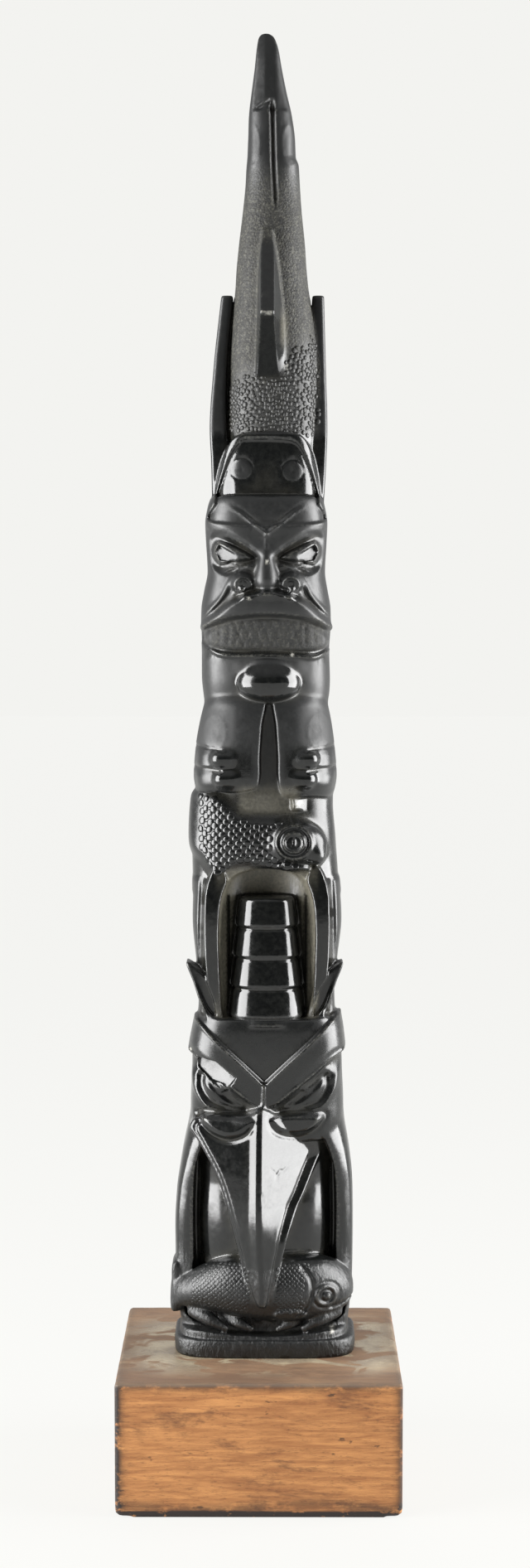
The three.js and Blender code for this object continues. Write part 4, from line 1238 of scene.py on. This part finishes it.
def pole_piece():
    """The carving as one mesh, standing on the plinth."""
    stone = carve_pole()
    points, faces = skin_of(stone)
    for _ in range(2):
        g = slopes(stone, points)
        steep = np.maximum((g * g).sum(1), 0.05)
        step = sample(stone, stone.field, points) / steep
        points = points - np.clip(step, -0.3, 0.3)[:, None] * g
    place = (points + np.array([POLE_X, 0, 0])) * MM
    place[:, 2] = np.maximum(place[:, 2], FOOT_Z * MM)
    piece = placed("argillite_carving", plain_mesh("argillite_carving", place, faces))
    thin_out(piece, glossy_forms(points), 2 * len(faces))
    piece.data.shade_smooth()
    settle(piece.data, stone)
    mark_carving(piece.data, stone)
    return piece


# ---------------- nodes
class Nodes:
    """A tree of nodes, built one by one."""

    def __init__(self, tree):
        self.tree = tree

    def put(self, socket, value):
        """Joins a node's output to a socket, or sets a number or colour on it."""
        if isinstance(value, bpy.types.NodeSocket):
            self.tree.links.new(value, socket)
        elif value is not None:
            socket.default_value = value

    def node(self, kind, output=0, settings=None, **inputs):
        """A new node, its inputs given by name, or by number as i0, i1 and so on."""
        made = self.tree.nodes.new(kind if "Node" in kind else "ShaderNode" + kind)
        for key, value in (settings or {}).items():
            setattr(made, key, value)
        for key, value in inputs.items():
            numbered = key[0] == "i" and key[1:].isdigit()
            self.put(made.inputs[int(key[1:]) if numbered else key.replace("_", " ")], value)
        return made if output is None else made.outputs[output]

    def math(self, operation, a, b=None, clamp=False):
        return self.node("Math", 0, {"operation": operation, "use_clamp": clamp}, i0=a, i1=b)

    def spread(self, value, low, high, to_low=0.0, to_high=1.0):
        """A smooth step from one amount to another, as a value goes from low to high."""
        smooth = {"interpolation_type": "SMOOTHSTEP"}
        return self.node("MapRange", 0, smooth, Value=value, i1=low, i2=high, i3=to_low, i4=to_high)


# ---------------- scales and pebbles
class Growth(Nodes):
    """A node tree that grows small domes on the carving, and the sizes that it reads."""

    def __init__(self, name, pole, material, width, height, uneven, seed, sink):
        super().__init__(bpy.data.node_groups.new(name, "GeometryNodeTree"))
        self.name = name
        self.tree.is_modifier = True
        for way in ("OUTPUT", "INPUT"):
            self.tree.interface.new_socket("Geometry", in_out=way, socket_type="NodeSocketGeometry")
        self.sizes = {}
        self.inputs = self.tree.nodes.new("NodeGroupInput")
        self.output = self.tree.nodes.new("NodeGroupOutput")
        self.carving = self.size("Carving", "Object", pole)
        self.material = self.size("Material", "Material", material)
        self.width = self.size("Half width", "Float", width * MM)
        self.height = self.size("Height", "Float", height * MM)
        self.uneven = self.size("Unevenness", "Float", uneven)
        self.seed = self.size("Seed", "Int", seed)
        self.sunk = self.size("Sunk", "Float", sink * MM)

    def size(self, name, kind, value):
        """A named input, and the value that this piece gives it."""
        socket = self.tree.interface.new_socket(name, in_out="INPUT", socket_type="NodeSocket" + kind)
        self.sizes[socket.identifier] = value
        return self.inputs.outputs[name]

    def shape_of_carving(self):
        return self.node("GeometryNodeObjectInfo", "Geometry", Object=self.carving)

    def keep(self, points, name, kind, value):
        """Keeps a value on every point, to be read further on."""
        settings = {"data_type": kind, "domain": "POINT"}
        return self.node(
            "GeometryNodeStoreNamedAttribute", 0, settings, Geometry=points, Name=name, Value=value
        )

    def kept(self, name, kind="FLOAT"):
        return self.node("GeometryNodeInputNamedAttribute", 0, {"data_type": kind}, Name=name)

    def vectors(self, operation, a, **inputs):
        return self.node("VectorMath", 0, {"operation": operation}, i0=a, **inputs)

    def compare(self, operation, a, b):
        settings = {"data_type": "FLOAT", "operation": operation}
        return self.node("FunctionNodeCompare", 0, settings, i0=a, i1=b)

    def random(self, low, high, seed):
        return self.node("FunctionNodeRandomValue", 1, {"data_type": "FLOAT"}, i2=low, i3=high, Seed=seed)

    def domes(self, points):
        """A flattened ball on every point, sunk into the skin, each a little different."""
        out = self.kept("out", "FLOAT_VECTOR")
        inward = self.vectors("SCALE", out, Scale=self.math("MULTIPLY", self.sunk, -1.0))
        points = self.node("GeometryNodeSetPosition", Geometry=points, Offset=inward)
        ball = self.node("GeometryNodeMeshIcoSphere", Radius=1.0, Subdivisions=2)
        ball = self.node("GeometryNodeSetShadeSmooth", Geometry=ball)
        facing = self.node("FunctionNodeAlignRotationToVector", 0, {"axis": "Z"}, Vector=out)
        low = self.math("SUBTRACT", 1.0, self.uneven)
        high = self.math("ADD", 1.0, self.uneven)
        across = self.math("MULTIPLY", self.width, self.random(low, high, self.seed))
        other_seed = self.math("ADD", self.seed, 1.0)
        along = self.math("MULTIPLY", self.width, self.random(low, high, other_seed))
        scale = self.node("CombineXYZ", X=across, Y=along, Z=self.height)
        grown = self.node(
            "GeometryNodeInstanceOnPoints", Points=points, Instance=ball, Rotation=facing, Scale=scale
        )
        solid = self.node("GeometryNodeRealizeInstances", Geometry=grown)
        dressed = self.node("GeometryNodeSetMaterial", Geometry=solid, Material=self.material)
        self.put(self.output.inputs[0], dressed)

    def grow(self):
        """Runs the tree and keeps its result as a plain mesh."""
        piece = placed(self.name, bpy.data.meshes.new(self.name))
        modifier = piece.modifiers.new(self.name, "NODES")
        modifier.node_group = self.tree
        for identifier, value in self.sizes.items():
            modifier[identifier] = value
        graph = bpy.context.evaluated_depsgraph_get()
        made = bpy.data.meshes.new_from_object(piece.evaluated_get(graph))
        piece.modifiers.clear()
        piece.data = made
        made.name = self.name
        return piece


def scale_rows(name, mark, pole, material, pitch, row, middle, size, width, height, seed, sink):
    """Rows of scales, each row half a scale on from the last, thrown onto the marked skin."""
    g = Growth(name, pole, material, width, height, 0.14, seed, sink)
    across = g.size("Pitch", "Float", pitch * MM)
    up = g.size("Row height", "Float", row * MM)
    columns, rows = round(size[0] / pitch), round(size[1] / row)
    grid = g.node(
        "GeometryNodeMeshGrid", Size_X=1.0, Size_Y=1.0, Vertices_X=columns + 1, Vertices_Y=rows + 1
    )
    index = g.node("GeometryNodeInputIndex")
    line = g.math("FLOORED_MODULO", index, float(rows + 1))
    column = g.math("FLOOR", g.math("DIVIDE", index, float(rows + 1)))
    step = g.math("MULTIPLY", g.math("FLOORED_MODULO", line, 2.0), 0.5)
    x = g.math("MULTIPLY", g.math("SUBTRACT", g.math("ADD", column, step), columns / 2), across)
    x = g.math("ADD", x, (POLE_X + middle[0]) * MM)
    z = g.math("MULTIPLY", g.math("SUBTRACT", line, rows / 2), up)
    z = g.math("ADD", z, middle[1] * MM)
    place = g.node("CombineXYZ", X=x, Y=-0.05, Z=z)
    drift = {"data_type": "FLOAT_VECTOR"}
    jitter = g.node(
        "FunctionNodeRandomValue", 0, drift, i0=(-0.12,) * 3, i1=(0.12,) * 3, Seed=g.seed
    )
    place = g.vectors("ADD", place, i1=g.vectors("SCALE", jitter, Scale=across))
    spots = g.node("GeometryNodeSetPosition", Geometry=grid, Position=place)
    ray = g.node(
        "GeometryNodeRaycast", None, {"data_type": "FLOAT"}, Target_Geometry=g.shape_of_carving(),
        Attribute=g.kept(mark), Source_Position=g.node("GeometryNodeInputPosition"),
        Ray_Direction=(0.0, 1.0, 0.0), Ray_Length=0.1,
    )
    spots = g.keep(spots, "out", "FLOAT_VECTOR", ray.outputs["Hit Normal"])
    marked = g.math("MULTIPLY", ray.outputs["Attribute"], ray.outputs["Is Hit"])
    spots = g.keep(spots, "marked", "FLOAT", marked)
    spots = g.node("GeometryNodeSetPosition", Geometry=spots, Position=ray.outputs["Hit Position"])
    gone = g.compare("LESS_THAN", g.kept("marked"), 0.6)
    spots = g.node("GeometryNodeDeleteGeometry", 0, {"domain": "POINT"}, Geometry=spots, Selection=gone)
    g.domes(spots)
    return g.grow()


def pebbled_skin(name, mark, pole, material, gap, width, height, seed, sink):
    """Pebbles strewn over the marked skin, none nearer to the next than the gap."""
    g = Growth(name, pole, material, width, height, 0.22, seed, sink)
    strewn = g.node(
        "GeometryNodeDistributePointsOnFaces", None, {"distribute_method": "POISSON"},
        Mesh=g.shape_of_carving(), Selection=g.compare("GREATER_THAN", g.kept(mark), 0.5),
        Distance_Min=g.size("Gap", "Float", gap * MM), Density_Max=4e6, Seed=g.seed,
    )
    g.domes(g.keep(strewn.outputs["Points"], "out", "FLOAT_VECTOR", strewn.outputs["Normal"]))
    return g.grow()


# ---------------- looks
class Recipe(Nodes):
    """A material, built node by node."""

    def __init__(self, name):
        self.material = bpy.data.materials.new(name)
        self.material.use_nodes = True
        super().__init__(self.material.node_tree)

    def place(self, scale=(1000, 1000, 1000), turn=(0, 0, 0)):
        """Where a point is on the piece, in millimetres unless another scale is given."""
        where = self.node("TexCoord", "Object")
        return self.node("Mapping", Vector=where, Rotation=turn, Scale=scale)

    def noise(self, where, scale, detail=3.0, roughness=0.5, distortion=0.0):
        return self.node(
            "TexNoise", "Fac", Vector=where, Scale=scale, Detail=detail, Roughness=roughness,
            Distortion=distortion,
        )

    def cells(self, where, scale):
        return self.node("TexVoronoi", "Distance", Vector=where, Scale=scale)

    def value(self, name):
        """What the mesh keeps under a name."""
        return self.node("Attribute", "Fac", {"attribute_name": name})

    def mix(self, amount, a, b):
        return self.node("Mix", 2, {"data_type": "RGBA"}, i0=amount, i6=a, i7=b)

    def bump(self, height, distance, strength=1.0, after=None):
        return self.node("Bump", Strength=strength, Distance=distance, Height=height, Normal=after)

    def finish(self, **inputs):
        """Joins the last nodes to the material's shader."""
        for key, value in inputs.items():
            self.put(self.tree.nodes["Principled BSDF"].inputs[key.replace("_", " ")], value)
        return self.material


def rgb(r, g, b):
    """A colour given as it looks on a screen."""
    return (
        tuple((c / 255 / 12.92) if c < 11 else ((c / 255 + 0.055) / 1.055) ** 2.4 for c in (r, g, b)) + (1,)
    )


PAPER = rgb(243, 243, 240)


def argillite():
    """Near-black polished stone, with matt skin, grey rubbed edges that are partly a painted highlight, and
    dusty olive colour in the hollows that is also painted light on the niche's walls and beside the back fin.
    """
    m = Recipe("polished argillite")
    where = m.place()
    mottle = m.noise(where, 0.16, 4, 0.6)
    fine = m.noise(where, 1.3, 3, 0.6)
    stone = m.mix(m.spread(m.noise(where, 0.7, 4, 0.7), 0.35, 0.65), rgb(10, 11, 11), rgb(19, 20, 19))
    stone = m.mix(m.math("MULTIPLY", m.value("satin"), 0.9, True), stone, rgb(20, 21, 21))
    skin = m.value("skin")
    # convex edges painted lighter grey: partly rubbed stone, partly a painted highlight along crisp edges and
    # cords
    rubbed_and_lit_edges = m.math("MULTIPLY", m.spread(m.value("edge"), 0.35, 0.95), m.spread(fine, 0.4, 0.7))
    stone = m.mix(m.math("MULTIPLY", rubbed_and_lit_edges, 0.34), stone, rgb(104, 103, 96))
    stone = m.mix(m.math("MULTIPLY", m.value("chip"), m.spread(fine, 0.35, 0.5)), stone, rgb(168, 166, 158))
    in_hollows = m.math("MULTIPLY", m.value("recess"), m.spread(mottle, 0.3, 0.75, 0.01, 0.15), True)
    # the marked patches: dusty stone, painted light on the niche's walls, and a painted highlight beside the
    # back fin
    in_patches = m.math("MULTIPLY", m.value("dust_and_painted_light"), m.spread(fine, 0.2, 0.8, 0.45, 1))
    dust_and_light_amount = m.math("MAXIMUM", in_hollows, in_patches)
    cloudy = m.spread(m.noise(where, 0.5, 4, 0.7), 0.3, 0.7)
    stone = m.mix(m.math("MULTIPLY", skin, 0.9), stone, m.mix(cloudy, rgb(8, 8, 6), rgb(38, 37, 31)))
    speckle = m.spread(m.noise(where, 1.5, 2, 0.5), 0.52, 0.64)
    speckle = m.math("MULTIPLY", speckle, m.math("MULTIPLY", skin, 0.5))
    stone = m.mix(speckle, stone, rgb(80, 79, 70))
    # dusty olive for the hollows and patches, made light enough to be also painted light on the niche's walls
    # and a painted highlight by the back fin
    colour = m.mix(dust_and_light_amount, stone, rgb(128, 124, 110))
    smudge = m.noise(where, 0.35, 3, 0.65)
    rough = m.math("ADD", m.spread(fine, 0.3, 0.75, 0.1, 0.15), m.spread(smudge, 0.4, 0.7, 0.0, 0.06))
    rough = m.math("ADD", rough, m.math("MULTIPLY", m.value("satin"), 0.28))
    rough = m.math("ADD", rough, m.math("MULTIPLY", skin, 0.3))
    rough = m.math("ADD", rough, m.math("MULTIPLY", dust_and_light_amount, 0.45), True)
    scratch = m.noise(m.place((260, 260, 2600), (0.5, 0.3, 0.2)), 1, 2, 0.5)
    grains = m.cells(where, 1.7)
    bump = m.bump(m.spread(scratch, 0.5, 0.62), 0.00002, 0.06)
    bump = m.bump(m.noise(where, 0.3, 2, 0.5), 0.0003, 0.14, bump)
    bump = m.bump(m.math("MULTIPLY", m.math("SUBTRACT", 1.0, grains), skin), 0.00025, 0.5, bump)
    strokes = m.noise(m.place((900, 900, 420), (0.2, 0.5, 0)), 1, 4, 0.6)
    bump = m.bump(m.math("MULTIPLY", strokes, m.value("hewn")), 0.0009, 0.5, bump)
    gleam = m.math("SUBTRACT", 0.5, m.math("MULTIPLY", m.value("shaded"), 0.38))
    return m.finish(Base_Color=colour, Roughness=rough, IOR=1.56, Normal=bump, Specular_IOR_Level=gleam)


def plinth_wood():
    """Stained softwood with its grain along x, darker worn edges, a painted contact shadow along its bottom,
    and glue round the carving's foot.
    """
    m = Recipe("stained plinth wood")
    grain = m.noise(m.place((60, 600, 700)), 1.0, 5, 0.7, 0.4)
    streaks = m.noise(m.place((420, 1900, 2100)), 1.0, 4, 0.75)
    broad = m.noise(m.place((30, 90, 110)), 1.0, 4, 0.65, 0.6)
    colour = m.mix(m.spread(grain, 0.3, 0.7), rgb(150, 97, 54), rgb(194, 136, 80))
    blotch = m.noise(m.place((48, 70, 150), (0, 0.2, 0)), 1.0, 5, 0.75, 0.3)
    colour = m.mix(m.spread(broad, 0.45, 0.75, 0, 0.5), colour, rgb(126, 76, 40))
    colour = m.mix(m.spread(blotch, 0.54, 0.7, 0, 0.65), colour, rgb(84, 50, 30))
    colour = m.mix(m.spread(streaks, 0.5, 0.74, 0, 0.6), colour, rgb(84, 48, 27))
    spots = m.noise(m.place((170, 300, 420)), 1.0, 3, 0.6)
    colour = m.mix(m.spread(spots, 0.66, 0.72, 0, 0.75), colour, rgb(44, 28, 20))
    # stains and worn edges, and the painted contact shadow along the bottom, in one near-black brown
    stain_and_shadow = m.math(
        "MULTIPLY", m.value("worn"), m.spread(m.noise(m.place((260, 420, 420)), 1, 4, 0.7), 0.28, 0.52),
        True,
    )
    colour = m.mix(stain_and_shadow, colour, rgb(34, 24, 19))
    aged = m.mix(m.spread(broad, 0.35, 0.65), rgb(112, 94, 76), rgb(88, 74, 62))
    colour = m.mix(m.math("MULTIPLY", m.value("top"), 0.85), colour, aged)
    smear = m.noise(m.place((62, 86, 86)), 1, 3, 0.55, 0.8)
    glue = m.math("MULTIPLY", m.value("glue"), m.spread(smear, 0.43, 0.5), True)
    pale = m.mix(
        m.spread(m.noise(m.place((90, 90, 90)), 1, 3, 0.6), 0.35, 0.65), rgb(164, 152, 128),
        rgb(130, 118, 100),
    )
    colour = m.mix(m.math("MULTIPLY", glue, 0.85), colour, pale)
    rough = m.math("SUBTRACT", m.spread(grain, 0.3, 0.7, 0.5, 0.62), m.math("MULTIPLY", glue, 0.34))
    bump = m.bump(streaks, 0.0004, 0.35)
    bump = m.bump(grain, 0.0006, 0.3, bump)
    bump = m.bump(smear, 0.0008, m.math("MULTIPLY", glue, 0.6), bump)
    return m.finish(Base_Color=colour, Roughness=rough, IOR=1.5, Normal=bump)


def box_skin(half, pitch):
    """A box's points, closely set on all its faces, and its four-sided faces."""
    counts = [max(2, int(round(2 * h / pitch))) for h in half]
    points, faces = [], []
    for axis in range(3):
        a, b = (axis + 1) % 3, (axis + 2) % 3
        for side in SIDES:
            steps = (np.linspace(-1, 1, counts[c] + 1) for c in (a, b))
            u, v = np.meshgrid(*steps, indexing="ij")
            p = np.zeros(u.shape + (3,))
            p[..., axis], p[..., a], p[..., b] = side * half[axis], u * half[a], v * half[b]
            first = sum(len(q) for q in points)
            points.append(p.reshape(-1, 3))
            i = first + np.arange(u.size).reshape(u.shape)
            quads = np.stack([i[:-1, :-1], i[1:, :-1], i[1:, 1:], i[:-1, 1:]], -1).reshape(-1, 4)
            faces.append(quads if side > 0 else quads[:, ::-1])
    points, faces = np.vstack(points), np.vstack(faces)
    # points that two or three faces share become one
    _, first, back = np.unique(np.round(points, 4), axis=0, return_index=True, return_inverse=True)
    points, faces = points[first], back.reshape(-1)[faces]
    return points, faces


def plinth_piece():
    """The plinth: a planed block with edges knocked and rounded by handling."""
    low, high = (np.array(c) / MM for c in PLINTH_BOX)
    half = (high - low) / 2
    middle = (high + low) / 2
    points, faces = box_skin(half, 1.0)
    x, y, z = points.T
    worn = 0.9 + 0.35 * np.sin(x * 0.21 + y * 0.13) * np.sin(y * 0.17 + z * 0.4)
    worn = worn + 0.25 * np.sin(x * 0.9 + 1.7) * np.sin(y * 0.7 + 0.4)
    low_corner = np.clip(-z / half[2], 0, 1) ** 4 * np.clip(np.abs(x) / half[0], 0, 1) ** 6
    radius = np.clip(worn + 1.2 * low_corner, 0.5, 2.6)
    radius = np.where((z < -half[2] + 3) & (np.abs(x) < half[0] - 4), 0.5, radius)[:, None]
    inner = np.clip(points, -(half - radius), half - radius)
    away = points - inner
    length = np.linalg.norm(away, axis=1, keepdims=True)
    points = inner + away / np.maximum(length, 1e-6) * np.minimum(length, radius)
    mesh = plain_mesh("plinth_block", (points + middle) * MM, faces)
    mesh.shade_smooth()
    x, y, z = points.T
    gaps = np.sort(half - np.abs(points), axis=1)
    edges = np.clip(1 - gaps[:, 1] / 2.6, 0, 1) ** 1.2
    from_left, from_front, from_below = x + half[0], y + half[1], z + half[2]
    left = below(from_left, 2.5, 4) * below(from_front, 6, 6)
    streak = near(from_below, 3.0 + 0.8 * np.sin(x * 0.11), 0.9, 2.6) * below(from_front, 3, 2)
    # a painted contact shadow: a dark band along the bottom of every side
    painted_contact_shadow = below(from_below, 1.3, 0.9)
    # worn holds the darker edges, the left stain and the low streak, and also the painted contact shadow
    put_values(mesh, "worn", np.clip(1.1 * edges + 0.35 * left + 0.62 * streak + 1.8 * painted_contact_shadow, 0, 2))
    top = above(z, half[2] - 0.6, 0.8)
    put_values(mesh, "top", top)
    foot_x = np.maximum(np.abs(x - POLE_X) - 25, 0)
    foot_y = np.maximum(np.abs(y + 0.7) - 13, 0)
    put_values(mesh, "glue", ramp(np.hypot(foot_x, foot_y) - 11, 14) * top)
    return placed("plinth_block", mesh)


# ---------------- the studio
def camera():
    """The camera, level with the bear's nose and tipped a little down."""
    tipped, turned = 0.08, 0.0034
    view = bpy.data.cameras.new("camera")
    eye = placed("camera", view)
    eye.location = (0.00381, -0.6658, 0.2449)
    eye.rotation_euler = (math.pi / 2 - tipped, 0, turned)
    view.lens = 56.4
    view.sensor_width = 36
    bpy.context.scene.camera = eye


def softbox(name, bearing, distance=0.46, height=0.27, size=(0.34, 0.54), power=8):
    """A tall soft light at a bearing from the camera's side, left negative, facing the carving."""
    lamp = bpy.data.lights.new(name, "AREA")
    lamp.shape = "RECTANGLE"
    lamp.size, lamp.size_y = size
    lamp.energy = power
    holder = placed(name, lamp)
    turn = math.radians(bearing)
    holder.location = (distance * math.sin(turn), -distance * math.cos(turn), height)
    holder.rotation_euler = (math.pi / 2, 0, turn)
    holder.visible_camera = False


def room():
    """Off-white paper all round, in shade on the side that the carving faces."""
    world = bpy.data.worlds.new("room")
    world.use_nodes = True
    bpy.context.scene.world = world
    sky = Nodes(world.node_tree)
    paper = sky.tree.nodes["Background"]
    paper.inputs["Color"].default_value = PAPER
    way = sky.node("SeparateXYZ", None, Vector=sky.node("TexCoord", "Generated"))
    behind = sky.spread(way.outputs["Y"], -0.35, 0.7, 0.05, 0.7)
    overhead = sky.spread(way.outputs["Z"], 0.35, 0.95, 0.0, 0.6)
    shade = sky.node("Background", Strength=sky.math("MAXIMUM", behind, overhead))
    seen = sky.node("LightPath", "Is Camera Ray")
    choice = sky.node("MixShader", i0=seen, i1=shade, i2=paper.outputs[0])
    sky.put(sky.tree.nodes["World Output"].inputs["Surface"], choice)


def floor():
    """Off-white paper under the plinth, bright by itself so that it throws little shade."""
    reach = 4
    corners = [(-reach, -reach, 0), (reach, -reach, 0), (reach, reach, 0), (-reach, reach, 0)]
    mesh = bpy.data.meshes.new("floor")
    mesh.from_pydata(corners, [], [(0, 1, 2, 3)])
    dim = (0.02, 0.02, 0.02, 1)
    paper = Recipe("off-white paper")
    paper.finish(Base_Color=dim, Roughness=0.9, Emission_Color=PAPER, Emission_Strength=0.96)
    mesh.materials.append(paper.material)
    placed("floor", mesh)


def studio():
    """The room, its floor and two softboxes."""
    bpy.context.scene.view_settings.view_transform = "Standard"
    room()
    floor()
    softbox("left softbox", -72)
    softbox("right softbox", 84)


# what the stone's recipe reads on each of the grown pieces; edge at 1 gives the whale's pebbles the lighter
# grey of rubbed edges, which is partly a painted highlight
GROWN_LOOKS = {
    "creature_scales": {"satin": 0.2, "skin": 0.0, "edge": 0.0},
    "salmon_scales": {"satin": 0.9, "skin": 0.0, "edge": 0.0},
    "whale_pebbles": {"satin": 1.0, "skin": 1.0, "edge": 1.0},
}

camera()
studio()
pole = pole_piece()
stone = argillite()
pole.data.materials.append(stone)
skins = [
    scale_rows(
        "creature_scales", "creature_scales", pole, stone, pitch=2.3, row=1.15, middle=(-1, 177),
        size=(36, 26), width=1.06, height=0.28, seed=4, sink=0.04,
    ),
    scale_rows(
        "salmon_scales", "fish_scales", pole, stone, pitch=1.3, row=0.65, middle=(-4, 55),
        size=(36, 17), width=0.6, height=0.09, seed=9, sink=0.02,
    ),
    pebbled_skin(
        "whale_pebbles", "pebbles", pole, stone, gap=1.02, width=0.72, height=0.42, seed=3, sink=0.1,
    ),
]
for skin in skins:
    for look, value in GROWN_LOOKS[skin.name].items():
        put_values(skin.data, look, np.full(len(skin.data.vertices), value))
    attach(skin, "root")
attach(pole, "root")
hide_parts("carved_pole")
plinth = plinth_piece()
plinth.data.materials.append(plinth_wood())
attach(plinth, "root")
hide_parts("wooden_plinth")
